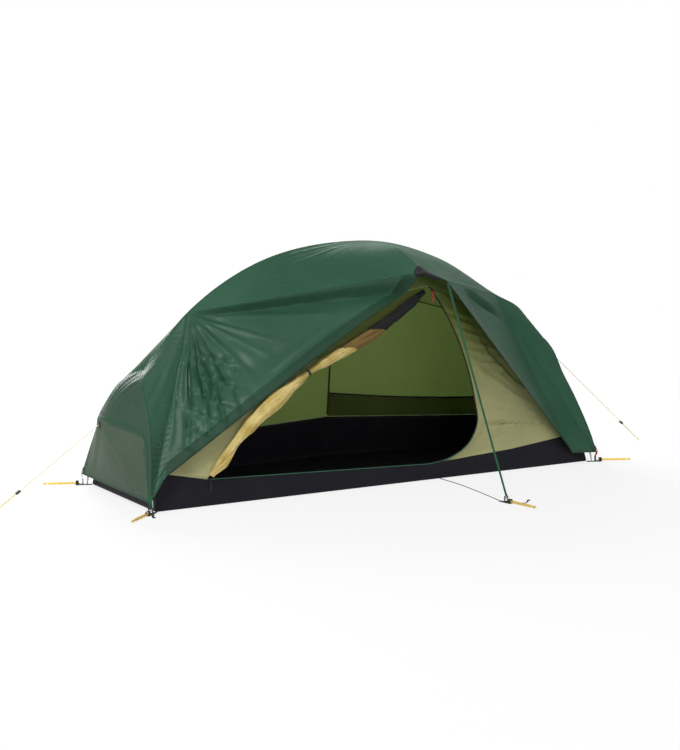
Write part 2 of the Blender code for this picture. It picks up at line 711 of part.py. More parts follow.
def fly_grids(c):
    """The fly's panels as grids of points."""
    apex = {k: [p] * (2 * ACROSS + 1) for k, p in (("L", SEAM_L), ("R", SEAM_R))}
    short = ACROSS + 1
    grids = {
        "fly_roof_front_left": coons(
            c["fold_left"], c["ridge_left"], apex["L"][:short], c["bar_front"]
        ),
        "fly_roof_front_right": coons(
            c["door_top"][:-1] + c["fold_right"],
            c["ridge_right"],
            c["bar_front"],
            apex["R"][:short],
        ),
        "fly_roof_back_left": coons(
            c["fold_back_left"], c["ridge_left"], apex["L"][:short], c["bar_back"]
        ),
        "fly_roof_back_right": coons(
            c["fold_back_right"], c["ridge_right"], c["bar_back"], apex["R"][:short]
        ),
        "fly_front_left": coons(c["seam_left"], c["fold_left"], apex["L"], c["edge_left"]),
        "fly_front_right": coons(
            c["seam_right"], c["fold_right"][::-1], apex["R"], c["edge_right"]
        ),
    }
    for side, word in ((-1, "left"), (1, "right")):
        legs = c["leg", side, "front"], c["leg", side, "back"]
        ridge_end = c["ridge_end_" + word]
        if side < 0:
            seam, up = c["seam_left"], ridge_end
        else:
            seam, up = c["seam_right"], ridge_end[::-1]
        corner = line(fly_corner(side, -1), seam_foot(side), END_STEPS)
        grids["fly_shoulder_" + word] = coons(legs[0], seam, up, corner)
        grids["fly_end_" + word] = end_wall(*legs, end_middle(side, legs[0][0]))
    for side, word in ((-1, "left"), (1, "right")):
        ridge_end = c["ridge_end_" + word]
        leg = c["leg", side, "back"][::-1]
        fold = c["fold_back_" + word]
        bowed = HEM_BACK.lerp(BAR_BACK, 0.5) + Vector((0, BACK_BOW, 0))
        middle = smooth_curve([HEM_BACK, bowed, BAR_BACK], ROOF_STEPS)
        if side < 0:
            top = ridge_end[:-1] + fold
            hem = line(fly_corner(-1, 1), HEM_BACK, ROOF_STEPS + END_STEPS)
            grids["fly_back_left"] = coons(hem, top, leg, middle)
        else:
            top = fold[:-1] + ridge_end
            hem = line(HEM_BACK, fly_corner(1, 1), ROOF_STEPS + TOP_STEPS + END_STEPS)
            grids["fly_back_right"] = coons(hem, top, middle, leg)
    return {name: face_out(grid, MIDDLE) for name, grid in grids.items()}


def end_middle(side, hub):
    """The end wall's middle line, drawn out to where the guy line pulls."""
    out, height = (
        (GUY_LEFT_OUT, GUY_LEFT_HEIGHT) if side < 0 else (GUY_RIGHT_OUT, GUY_RIGHT_HEIGHT)
    )
    guy = Vector((side * (HALF + out), 0, height))
    knee = hub.lerp(guy, END_KNEE) + END_BOW[side]
    hem = Vector((side * (HALF + FLY_CORNER_OUT), 0, FLY_HEM))
    belly = guy.lerp(hem, 0.5) + END_BELLY[side]
    above = GUY_ROW[side]
    upper = smooth_curve([hub, knee, guy], above)
    return upper[:-1] + smooth_curve([guy, belly, hem], ROOF_STEPS - above)


def make_fly(c, frames):
    """The flysheet: panels of one thickness that meet at their seams, with a webbing tab sewn
    to each corner of its ends, which hangs down to the corner's buckle."""
    grids = fly_grids(c)
    normals = shared_normals(grids.values())
    over_buckle = BUCKLE_AT + UP * (BUCKLE_TOP + FIT)
    for name, grid in grids.items():
        tabs, finish = [], FLY
        if name.startswith("fly_end"):
            side, finish = name.removeprefix("fly_end_"), FLY_END
            for end in ("front", "back"):
                tabs.append(frames[end, side] @ Matrix.Translation(over_buckle))
        add_object(name, panel_mesh(name, grid, normals, FLY_THICKNESS, tabs), finish)
    return grids, normals


def sink(points, normals, depth):
    """Points moved in under the fly."""
    return [p - normals[key(p)] * depth for p in points]


# Frame

def make_frame(c, normals):
    """Ridge poles, cross bar, four bowed legs and the three moulded hubs that join them."""
    ridge_l = c["ridge_end_left"][:-1] + c["ridge_left"]
    ridge_r = c["ridge_right"] + c["ridge_end_right"][1:]
    centre = CROWN - Vector((0, 0, CENTRE_DROP + CROSSING))
    hubs = {
        -1: HUB_L - normals[key(HUB_L)] * HUB_DROP,
        1: HUB_R - normals[key(HUB_R)] * HUB_DROP,
    }
    sockets = {-1: [], 1: []}
    for side, word, ridge in ((-1, "left", ridge_l[::-1]), (1, "right", ridge_r)):
        low = [p - UP.lerp(normals[key(p)], 0.7) * RIDGE_DROP for p in ridge]
        along = Vector((side, 0, 0))
        out = (low[-3] - hubs[side]).normalized()
        sockets[side].append(out)
        bend = [centre + along * (SOCKET_START + SOCKET_DEPTH + RIDGE_LEAD), *low[2:-2:2]]
        bend.append(hubs[side] + out * (SOCKET_START + SOCKET_DEPTH + LEG_LEAD))
        path = smooth_curve(bend, 20)
        path = [centre + along * SOCKET_START, *path, hubs[side] + out * SOCKET_START]
        tube("ridge_pole_" + word, path, POLE_RADIUS, ALLOY)
        for end in ("front", "back"):
            sockets[side].append(make_leg(c, normals, side, word, end, hubs[side]))
    make_bar(c, centre)
    make_centre_hub(centre)
    for side, word in ((-1, "left"), (1, "right")):
        make_end_hub("hub_" + word, hubs[side], sockets[side])


def leg_foot(side, y_side):
    """Where a leg's tip stands in its eyelet."""
    return Vector((side * (HALF + LEG_FOOT.x), y_side * (SIDE + LEG_FOOT.y), LEG_FOOT.z))


def make_leg(c, normals, side, word, end, hub):
    """A bowed leg from its hub's socket to the tip that stands in the corner's eyelet."""
    low = sink(c["leg", side, end][1:-1], normals, LEG_DROP)
    foot = leg_foot(side, -1 if end == "front" else 1)
    out = (low[1] - hub).normalized()
    top = foot + (low[-1] - foot).normalized() * TIP_LENGTH
    bend = [hub + out * (SOCKET_START + SOCKET_DEPTH + LEG_LEAD), *low[2:-1:2], top]
    path = [hub + out * SOCKET_START, *smooth_curve(bend, 14)]
    pole = tube("pole", path, POLE_RADIUS, ALLOY)
    bpy.context.view_layer.update()
    body = bpy.data.meshes.new_from_object(pole.evaluated_get(bpy.context.evaluated_depsgraph_get()))
    bpy.data.objects.remove(pole, do_unlink=True)
    down = (foot - top).normalized()
    tip = cone_object(top - down * TIP_SEAT, foot, POLE_RADIUS * TIP_FLARE, TIP_RADIUS, 12)
    shaft = bpy.data.objects.new("helper", body)
    combine(f"leg_{end}_{word}", ALLOY, [shaft, tip])
    return out


def make_bar(c, centre):
    """The cross bar: straight where it passes through the centre hub, bowed to its ends."""
    middle = centre + UP * CROSSING
    straight = SOCKET_DEPTH + BAR_LEAD
    path = []
    for y_side, seam, past in (
        (-1, c["bar_front"], BAR_PAST_FRONT),
        (1, c["bar_back"], BAR_PAST_BACK),
    ):
        end = seam[0] + Vector((0, y_side * past, BAR_END_RISE - POLE_DROP))
        waypoint = seam[ACROSS // 2] - UP * POLE_DROP
        half = smooth_curve([middle + Vector((0, y_side * straight, 0)), waypoint, end], 10)
        path = half[::-1] + path if y_side < 0 else path + half
    tube("cross_bar", path, POLE_RADIUS, ALLOY)


def make_centre_hub(centre):
    """Two sleeves that cross: sockets for the ridge poles, and a bore above for the bar."""
    reach = SOCKET_START + SOCKET_DEPTH
    radius = POLE_RADIUS + HUB_WALL
    x, y = Vector((1, 0, 0)), Vector((0, 1, 0))
    up = centre + UP * CROSSING
    bore = POLE_RADIUS + FIT
    solids = [
        cone_object(centre - x * reach, centre + x * reach, radius),
        cone_object(up - y * SOCKET_DEPTH, up + y * SOCKET_DEPTH, radius),
        box_object(Matrix.Translation(centre.lerp(up, 0.5)), (HUB_BLOCK, HUB_BLOCK, CROSSING)),
    ]
    cuts = [cone_object(up - y * reach, up + y * reach, bore)]
    for side in (-1, 1):
        start = centre + x * side * (SOCKET_START - FIT)
        cuts.append(cone_object(start, centre + x * side * reach * 1.2, bore))
    combine("centre_hub", PLASTIC, solids, cuts)


def make_end_hub(name, hub, directions):
    """A moulded Y hub: a core with a socket for the ridge pole and one for each leg."""
    radius = POLE_RADIUS + HUB_WALL
    reach = SOCKET_START + SOCKET_DEPTH
    solids = [ball_object(hub, radius * HUB_CORE)]
    cuts = []
    for way in directions:
        solids.append(cone_object(hub, hub + way * reach, radius * HUB_FLARE, radius))
        start = hub + way * (SOCKET_START - FIT)
        cuts.append(cone_object(start, hub + way * reach * 1.2, POLE_RADIUS + FIT))
    combine(name, PLASTIC, solids, cuts)


# Inner tent

def tub_plan():
    """The floor's outline, corner by corner, front left first, with the wall's height there."""
    left, right = ZIP_LEFT, ZIP_RIGHT
    return [
        (Vector((-HALF, -SIDE, 0)), TUB_CORNER),
        (Vector((-HALF + left.x, -SIDE, 0)), left.z),
        (Vector((right.x, -SIDE, 0)), right.z),
        (Vector((HALF - 0.45, -SIDE, 0)), 0.098),
        (Vector((HALF, -SIDE, 0)), TUB_CORNER - 0.010),
        (Vector((HALF, SIDE, 0)), TUB_CORNER - 0.010),
        (Vector((BACK_KINK_X, SIDE + BACK_KINK_DEPTH, 0)), TUB_BACK_KINK),
        (Vector((-HALF, SIDE, 0)), TUB_CORNER),
    ]


def lean(point, height):
    """A point of the tub's rim: its corners are drawn in as the walls rise."""
    x = point.x
    if abs(x) > HALF - 1e-6:
        x *= 1 - TUB_CORNER_IN / HALF
    y = point.y
    if y > 0 or abs(point.x) > HALF - TUB_CORNER_REACH:
        near = 1.0 if y > 0 else 1 - (HALF - abs(point.x)) / TUB_CORNER_REACH
        y *= 1 - near * TUB_CORNER_IN / SIDE
    return Vector((x, y, height))


def tub_rim():
    """Points of the tub's edge, at its foot and at its top, with the stretches between corners."""
    plan = tub_plan()
    foot, top, starts = [], [], []
    for k, steps in enumerate(TUB_STEPS):
        (a, height_a), (b, height_b) = plan[k], plan[(k + 1) % len(plan)]
        starts.append(len(foot))
        for i in range(steps):
            t = i / steps
            spot = a.lerp(b, t)
            high = height_a + (height_b - height_a) * t
            foot.append(spot)
            top.append(lean(spot, high))
    return foot, top, starts


def make_tub(foot, top):
    """The groundsheet: a floor whose walls stand up all round, one sheet folded like a tray."""
    shape = bmesh.new()
    n = len(foot)

    def inward(k, points):
        a, b = points[k] - points[k - 1], points[(k + 1) % n] - points[k]
        normals = [Vector((-d.y, d.x, 0)).normalized() for d in (a, b)]
        both = (normals[0] + normals[1]).normalized()
        return both * TUB_THICKNESS / max(both.dot(normals[0]), 0.3)

    thick = UP * TUB_THICKNESS
    inner_top = [top[k] + inward(k, top) for k in range(n)]
    inner_foot = [foot[k] + inward(k, foot) + thick for k in range(n)]
    rings = [[shape.verts.new(p) for p in ring] for ring in (foot, top, inner_top, inner_foot)]
    for low, high in zip(rings, rings[1:]):
        for k in range(n):
            m = (k + 1) % n
            shape.faces.new((low[k], low[m], high[m], high[k]))
    front, end = sum(TUB_STEPS[:4]), TUB_STEPS[4]
    for ring in (foot, inner_foot):
        around = [*ring, ring[0]]
        grid = coons(
            around[: front + 1],
            around[front + end : 2 * front + end + 1][::-1],
            around[2 * front + end :][::-1],
            around[front : front + end + 1],
        )
        made = [[shape.verts.new(p) for p in column] for column in grid]
        for quad in grid_faces(grid):
            shape.faces.new([made[i][j] for i, j in quad])
    bmesh.ops.remove_doubles(shape, verts=shape.verts, dist=1e-6)
    add_object("tub_floor", mesh_from("tub_floor", shape), TUB)


def inner_curves(top, starts):
    """The inner tent's seams: ridge, eaves, door outline and the rim it is sewn to."""
    rise = UP * (SEAM_GAP + INNER_THICKNESS * 0.2)
    flush = Vector((0, INNER_THICKNESS / 2, 0))
    rim = [p + rise + (flush if p.y < 0 else Vector()) for p in top]
    n = len(rim)

    def stretch(first, last, steps):
        a, b = starts[first], starts[last % len(starts)]
        return even([rim[k % n] for k in range(a, (b if b > a else b + n) + 1)], steps)

    drop = UP * -INNER_DROP
    end_l = HUB_L.lerp(SEAM_L, INNER_END_SHARE) + drop * INNER_END_DROP
    end_r = HUB_R.lerp(SEAM_R, INNER_END_SHARE) + drop * INNER_END_DROP
    crown = CROWN + drop
    shoulders = [point + drop * INNER_SHOULDER_DROP for point in (SHOULDER_L, SHOULDER_R)]
    left = smooth_curve([end_l, SEAM_L + drop, shoulders[0], TOP + drop, crown], ROOF_STEPS)
    right = smooth_curve([crown, shoulders[1], SEAM_R + drop, end_r], ROOF_STEPS)
    top_front = DOOR_TOP + Vector((0, WALL_Y, 0))
    top_back = Vector((BAR_X, SIDE * INNER_BACK_IN, DOOR_TOP.z))
    back_right = stretch(5, 6, ROOF_STEPS)
    back_left = stretch(6, 7, ROOF_STEPS)
    front_left = stretch(0, 1, ROOF_STEPS)
    front_right = stretch(2, 4, ROOF_STEPS)
    corners = {
        (-1, "front"): (front_left[0], end_l),
        (1, "front"): (front_right[-1], end_r),
        (-1, "back"): (back_left[-1], end_l),
        (1, "back"): (back_right[0], end_r),
    }
    legs = {}
    for (side, word), (corner, apex) in corners.items():
        bow = INNER_BOW[word] * Vector((side, 1, 1))
        legs[side, word] = smooth_curve([corner, corner.lerp(apex, 0.5) + bow, apex], WALL_STEPS)
    return {
        "ridge": left[:-1] + right,
        "eave_front": line(end_l, top_front, ROOF_STEPS)[:-1]
        + line(top_front, end_r, ROOF_STEPS),
        "eave_back": line(end_l, top_back, ROOF_STEPS)[:-1] + line(top_back, end_r, ROOF_STEPS),
        "front_left": front_left,
        "front_right": front_right,
        "end_right": stretch(4, 5, ROOF_STEPS),
        "back": back_right[:-1] + back_left,
        "end_left": stretch(7, 8, ROOF_STEPS),
        "hinge": hinge_line(top_front, front_left[-1]),
        "zip": zip_line(top_front, front_right[0]),
        "legs": legs,
    }


def hinge_line(start, end):
    """The door's sewn edge, bowed up a little from a straight line by the rolled door's pull."""
    bowed = [start.lerp(end, way) + HINGE_BOW * share for way, share in HINGE_SHAPE]
    return smooth_curve([start, *bowed, end], WALL_STEPS)


def arc_centre(start, end, radius):
    """The centre of the arc in an upright plane that falls from start to end and bows right."""
    middle, span = start.lerp(end, 0.5), end - start
    left = Vector((span.z, 0, -span.x)).normalized()
    return middle + left * math.sqrt(radius**2 - (span.length / 2) ** 2)


def zip_arc(start):
    """The door's zipped edge down its right side, the round stretch that the slider travels."""
    end = start + ZIP_SIDE
    centre = arc_centre(start, end, ZIP_RADIUS)
    first = start - centre
    turn = first.angle(end - centre)
    points = []
    for k in range(WALL_STEPS + 1):
        points.append(centre + Matrix.Rotation(turn * k / WALL_STEPS, 3, "Y") @ first)
    return points, centre


def zip_line(start, end):
    """The whole zipped edge: down the right side, round the corner and onto the tub's rim."""
    points, _ = zip_arc(start)
    drop = end.z - start.z
    for right, down in ZIP_CORNER:
        points.append(Vector((start.x + right, start.y, start.z + drop * down)))
    points.append(end)
    return smooth_curve(points, WALL_STEPS * 3)


def inner_grids(c):
    """Roof, back, ends and front of the inner tent as grids, sewn to the tub's rim."""
    ridge, legs = c["ridge"], c["legs"]
    roof = []
    for low_f, high, low_b in zip(c["eave_front"], ridge, c["eave_back"]):
        half = line(low_f, high, INNER_ROOF_STEPS)
        roof.append(half[:-1] + line(high, low_b, INNER_ROOF_STEPS))
    half = ROOF_STEPS
    front, back = c["eave_front"], c["eave_back"][::-1]
    steps = half + 1
    grids = {
        "inner_roof": roof,
        "inner_front_left": coons(
            c["front_left"], front[:steps], legs[-1, "front"], c["hinge"][::-1]
        ),
        "inner_front_right": coons(
            c["front_right"], front[half:], c["zip"][::-3], legs[1, "front"]
        ),
        "inner_back": coons(c["back"], back, legs[1, "back"], legs[-1, "back"]),
        "inner_end_left": coons(
            c["end_left"], [back[-1]] * steps, legs[-1, "back"], legs[-1, "front"]
        ),
        "inner_end_right": coons(
            c["end_right"], [back[0]] * steps, legs[1, "front"], legs[1, "back"]
        ),
    }
    return {name: face_out(grid, MIDDLE) for name, grid in grids.items()}


def up_column(column, distance):
    """The point that lies a distance along a column of a grid from its first point."""
    for a, b in zip(column, column[1:]):
        step = (b - a).length
        if distance <= step:
            return a.lerp(b, distance / step)
        distance -= step
    return column[-1]


def make_inner(c):
    """The inner tent's panels, and the pocket sewn to the back from its kink to its higher end."""
    grids = inner_grids(c)
    normals = shared_normals(grids.values())
    for name, grid in grids.items():
        finish = MESH if name == "inner_roof" else INNER
        add_object(name, panel_mesh(name, grid, normals, INNER_THICKNESS), finish)
    lift = INNER_THICKNESS + SEAM_GAP
    pocket = []
    for column in grids["inner_back"][1 : ROOF_STEPS + 1]:
        rising = column if column[0].z < column[-1].z else column[::-1]
        inward = -sum((normals[key(p)] for p in rising[:3]), Vector()).normalized()
        rows = []
        for share, slack in ((0, 0), (0.5, POCKET_SLACK), (1, POCKET_SLACK / 2)):
            spot = up_column(rising, POCKET_FOOT + POCKET_HEIGHT * share)
            rows.append(spot + inward * (lift + slack))
        pocket.append(rows)
    pocket = face_out(pocket, MIDDLE)
    mesh = panel_mesh("storage_pocket", pocket, shared_normals([pocket]), INNER_THICKNESS)
    add_object("storage_pocket", mesh, MESH)


def station_value(stations, share):
    for (a, low), (b, high) in zip(stations, stations[1:]):
        if a <= share <= b:
            t = (share - a) / (b - a)
            return low + (high - low) * t * t * (3 - 2 * t)
    return stations[-1][1]


def make_roll(hinge):
    """The door, rolled to its sewn edge and tied: a bundle that narrows at its tie and swells
    below it, with three folds that wind round it."""
    fine = even(hinge, ROLL_FINE)
    shape = bmesh.new()
    rings = []
    first, last = ROLL_STATIONS[0][0], ROLL_STATIONS[-1][0]
    for k in range(ROLL_RINGS + 1):
        share = first + (last - first) * k / ROLL_RINGS
        radius = station_value(ROLL_STATIONS, share)
        here = round(share * ROLL_FINE)
        spot = fine[here]
        along = (fine[here + 3] - fine[here - 3]).normalized()
        out = Vector((0, -1, 0))
        side = along.cross(out).normalized()
        centre = spot + out * (INNER_THICKNESS / 2 + TIE_THICKNESS + 2 * FIT + radius * ROLL_LOBE)
        if share <= TIE_SHARE:
            tie = centre, along, radius
        ring = []
        for m in range(ROLL_SIDES):
            angle = 2 * math.pi * m / ROLL_SIDES
            wave = math.cos(ROLL_FOLDS * angle + ROLL_TWIST * share)
            lobe = radius * (1 + (ROLL_LOBE - 1) * wave)
            round_it = out * math.cos(angle) + side * math.sin(angle)
            ring.append(shape.verts.new(centre + round_it * lobe))
        rings.append(ring)
    for low, high in zip(rings, rings[1:]):
        for m in range(ROLL_SIDES):
            n = (m + 1) % ROLL_SIDES
            shape.faces.new((low[m], low[n], high[n], high[m]))
    shape.faces.new(rings[0])
    shape.faces.new(rings[-1][::-1])
    bmesh.ops.triangulate(shape, faces=[f for f in shape.faces if len(f.verts) > 4])
    centre, along, radius = tie
    inner, outer = radius * 0.5, radius * ROLL_LOBE + TIE_THICKNESS + FIT
    band = ring_object(centre, along, inner, outer, TIE_WIDTH)
    combine("inner_door_roll", ROLL, [loose(shape), band])


# Zip

def make_zip(c):
    """The door's zip: a flat band round the door's free edge, down and along the tub's rim."""
    path = c["zip"] + line(c["front_right"][0], c["front_left"][-1], 6)[1:]
    shape = bmesh.new()
    rings = []
    for k, spot in enumerate(path):
        ahead = path[min(k + 1, len(path) - 1)] - path[max(k - 1, 0)]
        across = Vector((-ahead.z, 0, ahead.x)).normalized() * ZIP_WIDTH / 2
        ring = []
        for shift, y in ((across, 0), (-across, 0), (-across, 1), (across, 1)):
            place = spot + shift
            place.y = ZIP_FACE_Y - y * ZIP_THICKNESS
            ring.append(shape.verts.new(place))
        rings.append(ring)
    for low, high in zip(rings, rings[1:]):
        for m in range(4):
            n = (m + 1) % 4
            shape.faces.new((low[m], low[n], high[n], high[m]))
    shape.faces.new(rings[0])
    shape.faces.new(rings[-1][::-1])
    add_object("door_zip", mesh_from("door_zip", shape), BLACK, smooth=False)


def make_slider(word, spot, way, finish):
    """A zip slider with its lug, and the pull that swings on the lug."""
    y = ZIP_FACE_Y - ZIP_THICKNESS - FIT - SLIDER_DEPTH / 2
    centre = Vector((spot.x, y, spot.z))
    turn = Matrix.Translation(centre) @ axes_along(Vector((0, -1, 0)), way)
    size = (SLIDER_WIDTH, SLIDER_LENGTH, SLIDER_DEPTH)
    front = y - SLIDER_DEPTH / 2
    lug = Vector((spot.x, front - LUG_OUT, spot.z))
    across = Vector((1, 0, 0))
    body = box_object(turn, size, bevel=SLIDER_EDGE)
    ring = ring_object(lug, across, PULL_BAR + FIT, LUG_RADIUS, LUG_WIDTH, sides=12)
    combine("zip_slider_" + word, PLASTIC, [body, ring])
    bar = cone_object(lug - across * PULL_HALF, lug + across * PULL_HALF, PULL_BAR, sides=8)
    arms = [bar]
    for side in (-1, 1):
        start = lug + across * side * LUG_RADIUS
        arms.append(cone_object(start, start - UP * PULL_ARM, PULL_BAR, sides=8))
    tab = Matrix.Translation(lug - UP * (PULL_START + PULL_LENGTH / 2))
    arms.append(box_object(tab, (PULL_WIDTH, PULL_THICKNESS, PULL_LENGTH), bevel=PULL_EDGE))
    combine("zip_pull_" + word, finish, arms)


# Corners: webbing, buckle and peg

def local_frame(origin, out):
    """Axes at a point of the ground: x outwards, z up."""
    turn = Matrix((out, UP.cross(out), UP)).transposed().to_4x4()
    return Matrix.Translation(origin) @ turn


def make_strap(name, frame, finish, back, eyelet=True):
    """Ground webbing: a flat length with an eyelet for the pole's tip, a small loop that holds
    the buckle and a standing loop that the peg goes through."""
    x, y = frame.to_3x3() @ Vector((1, 0, 0)), frame.to_3x3() @ Vector((0, 1, 0))
    length = PEG_LOOP_AT.x + PEG_LOOP_WIDTH / 2 + back
    middle = Vector((length / 2 - back, 0, PLATE_Z + WEBBING_THICKNESS / 2))
    plate = box_object(
        frame @ Matrix.Translation(middle), (length, WEBBING, WEBBING_THICKNESS)
    )
    bore = BUCKLE_BAR + FIT
    small = ring_object(
        frame @ BUCKLE_AT, y, bore, bore + BUCKLE_LOOP_WALL, BUCKLE_LOOP_WIDTH, sides=12
    )
    loop = ring_object(
        frame @ PEG_LOOP_AT, x, PEG_LOOP_RADIUS, PEG_LOOP_RADIUS + PEG_LOOP_WALL, PEG_LOOP_WIDTH
    )
    cuts = []
    if eyelet:
        radius = TIP_RADIUS + EYELET_CLEARANCE
        cuts.append(cone_object(frame @ (UP * -0.01), frame @ (UP * 0.01), radius))
    combine(name, finish, [plate, small, loop], cuts, smooth=False)


def make_buckle(name, frame):
    """A ladder-lock buckle that stands on its lower bar, held by the webbing's small loop."""
    half = BUCKLE_WIDTH / 2
    foot = BUCKLE_AT
    span = Vector((0, half - 0.0005, 0))
    solids = [cone_object(frame @ (foot - span), frame @ (foot + span), BUCKLE_BAR, sides=10)]
    for side in (-1, 1):
        rail = foot + Vector(
            (0, side * (half - BUCKLE_RAIL.y / 2), BUCKLE_HEIGHT / 2 - BUCKLE_LOW)
        )
        size = (BUCKLE_RAIL.x, BUCKLE_RAIL.y, BUCKLE_HEIGHT + BUCKLE_LOW)
        solids.append(box_object(frame @ Matrix.Translation(rail), size, bevel=0.0007))
    for height, thick in BUCKLE_BARS:
        bar = foot + UP * (BUCKLE_HEIGHT * height - BUCKLE_LOW)
        size = (BUCKLE_BAR_DEPTH, BUCKLE_WIDTH - 0.002, thick)
        solids.append(box_object(frame @ Matrix.Translation(bar), size))
    combine(name, PLASTIC, solids, smooth=False)


def make_peg(name, frame):
    """A peg that lies through its webbing loop: a shaft of three blades, pointed at one end and
    notched below its head at the other."""
    start = Vector((PEG_LOOP_AT.x - PEG_LOOP_WIDTH / 2 - PEG_BACK, 0, PEG_LOOP_AT.z - PEG_SAG))
    shape = bmesh.new()
    outline = []
    half = PEG_BLADE_THICKNESS / 2
    for k in range(3):
        angle = math.pi / 2 + 2 * math.pi * k / 3
        out = Vector((0, math.cos(angle), math.sin(angle)))
        side = Vector((0, -out.z, out.y))
        nook = angle + math.pi / 3
        outline.append((out * PEG_BLADE - side * half, True))
        outline.append((out * PEG_BLADE + side * half, True))
        outline.append((Vector((0, math.cos(nook), math.sin(nook))) * half * 2, False))
    rings = []
    places = list(PEG_POINT) + [(PEG_LENGTH - back, share) for back, share in PEG_NOTCH]
    for along, share in places:
        spot = start + Vector((along, 0, 0))
        whole = share if along < PEG_POINT[1][0] else 1.0
        ring = []
        for point, tip in outline:
            ring.append(shape.verts.new(frame @ (spot + point * (share if tip else whole))))
        rings.append(ring)
    for low, high in zip(rings, rings[1:]):
        for m in range(len(outline)):
            n = (m + 1) % len(outline)
            shape.faces.new((low[m], low[n], high[n], high[m]))
    caps = [shape.faces.new(rings[0]), shape.faces.new(rings[-1][::-1])]
    bmesh.ops.triangulate(shape, faces=caps)
    add_object(name, mesh_from(name, shape), PEG, smooth=False)


def corner_frames():
    """Axes of each corner's webbing, with the pole's tip at the origin."""
    frames = {}
    for (end, side), way in PEG_WAYS.items():
        foot = leg_foot(-1 if side == "left" else 1, -1 if end == "front" else 1)
        frames[end, side] = local_frame(Vector((foot.x, foot.y, 0)), way.normalized())
    return frames


def reach_back(frame, corner):
    """How far the webbing reaches back to a corner of the tub."""
    return -(frame.inverted() @ corner).x - FIT


def make_corners(frames):
    for (end, side), frame in frames.items():
        corner = Vector((math.copysign(HALF, frame[0][3]), math.copysign(SIDE, frame[1][3]), 0))
        make_strap(f"corner_strap_{end}_{side}", frame, BLACK, reach_back(frame, corner))
        make_buckle(f"buckle_{end}_{side}", frame)
        make_peg(f"peg_{end}_{side}", frame)


# Guy lines and their tensioners

def cord_path(start, end, share):
    """A taut line from the fly to the ground, round the loop there and back up to the
    tensioner, with its two strands side by side."""
    way = (end - start).normalized()
    across = Vector((0, 1, 0))
    half = across * (STRAND_GAP / 2)
    length = (end - start).length
    hold = start + way * (length * share)
    turn = end - way * CORD_LOOP_RADIUS
    wide = across * CORD_LOOP_RADIUS
    straight = [hold.lerp(turn, share) for share in LINE_STRAIGHT]
    main = [start - half, hold - half, *(p - half for p in straight)]
    arc = [turn - wide, end, turn + wide]
    home = [*(p + half for p in reversed(straight)), hold + half, hold - way * LINE_TAIL + half]
    return smooth_curve(main + arc + home, 78), hold, way


def make_tensioner(name, place, way):
    """A line tensioner: a waisted bar with a hole for each strand of the line."""
    turn = Matrix.Translation(place) @ axes_along(way, Vector((0, 1, 0)))
    solids = [box_object(turn, (TENSIONER.z, TENSIONER.y, TENSIONER.x), bevel=0.0012)]
    cuts = []
    for side in (-1, 1):
        spot = place + Vector((0, side * STRAND_GAP / 2, 0))
        reach = way * TENSIONER.x
        cuts.append(cone_object(spot - reach, spot + reach, CORD_RADIUS + FIT, sides=12))
    combine(name, PLASTIC, solids, cuts, smooth=False)


def make_guys(grids, normals):
    """The line at each end, from the point where it pulls the fly to its loop on the ground."""
    for word, side, reach, share in (
        ("left", -1, GUY_LEFT_REACH, GUY_LEFT_HOLD),
        ("right", 1, GUY_RIGHT_REACH, GUY_RIGHT_HOLD),
    ):
        middle = [column[ACROSS] for column in grids["fly_end_" + word]]
        pulled = middle[GUY_ROW[side]]
        end = Vector((side * reach, 0, CORD_RADIUS + GROUND_GAP))
        off = FLY_THICKNESS / 2 + FIT + CORD_RADIUS * LINE_SEAT
        start = pulled + normals[key(pulled)] * off
        path, hold, way = cord_path(start, end, share)
        tube("guy_line_" + word, path, CORD_RADIUS, CORD)
        make_tensioner("guy_tensioner_" + word, hold, way)


# Vestibule: the webbing that holds the open door's top out, with its buckle, peg and ground cord

def make_vestibule(lip):
    """The webbing that holds the door's top out, from the hood's lip to its buckle and peg."""
    frame = local_frame(VESTIBULE_FOOT, VESTIBULE_WAY.normalized())
    make_strap("vestibule_loop", frame, BLACK, VESTIBULE_BACK, eyelet=False)
    make_buckle("vestibule_buckle", frame)
    make_peg("vestibule_peg", frame)
    low = frame @ (BUCKLE_AT + UP * (BUCKLE_HEIGHT + STRAP_FOOT))
    high = lip - UP * (FIT + STRAP_HEAD)
    way = (high - low).normalized()
    turn = Matrix.Translation((low + high) / 2) @ axes_along(way, Vector((0, -1, 0)))
    size = (STRAP_WIDTH, STRAP_THICKNESS, (high - low).length)
    combine("vestibule_strap", GREEN, [box_object(turn, size)], smooth=False)
    start = Vector((FLOOR_CORD_START_X, -SIDE - FIT - 0.0005, CORD_GROUND))
    end = frame @ Vector((-VESTIBULE_BACK - FIT * 3, 0, PLATE_Z + 0.0015))
    bend = [Vector((*spot, CORD_GROUND)) for spot in FLOOR_CORD_WAY]
    tube("floor_cord", smooth_curve([start, *bend, end], 48), FLOOR_CORD_RADIUS, BLACK)


def make_back_point():
    """The back's middle: webbing and a peg that hold the kinked edge out."""
    kink = Vector((BACK_KINK_X, SIDE + BACK_KINK_DEPTH, 0))
    frame = local_frame(kink + Vector((0, 0.016, 0)), Vector((0, 1, 0)))
    make_strap("back_strap", frame, BLACK, reach_back(frame, kink), eyelet=False)
    make_peg("back_peg", frame)


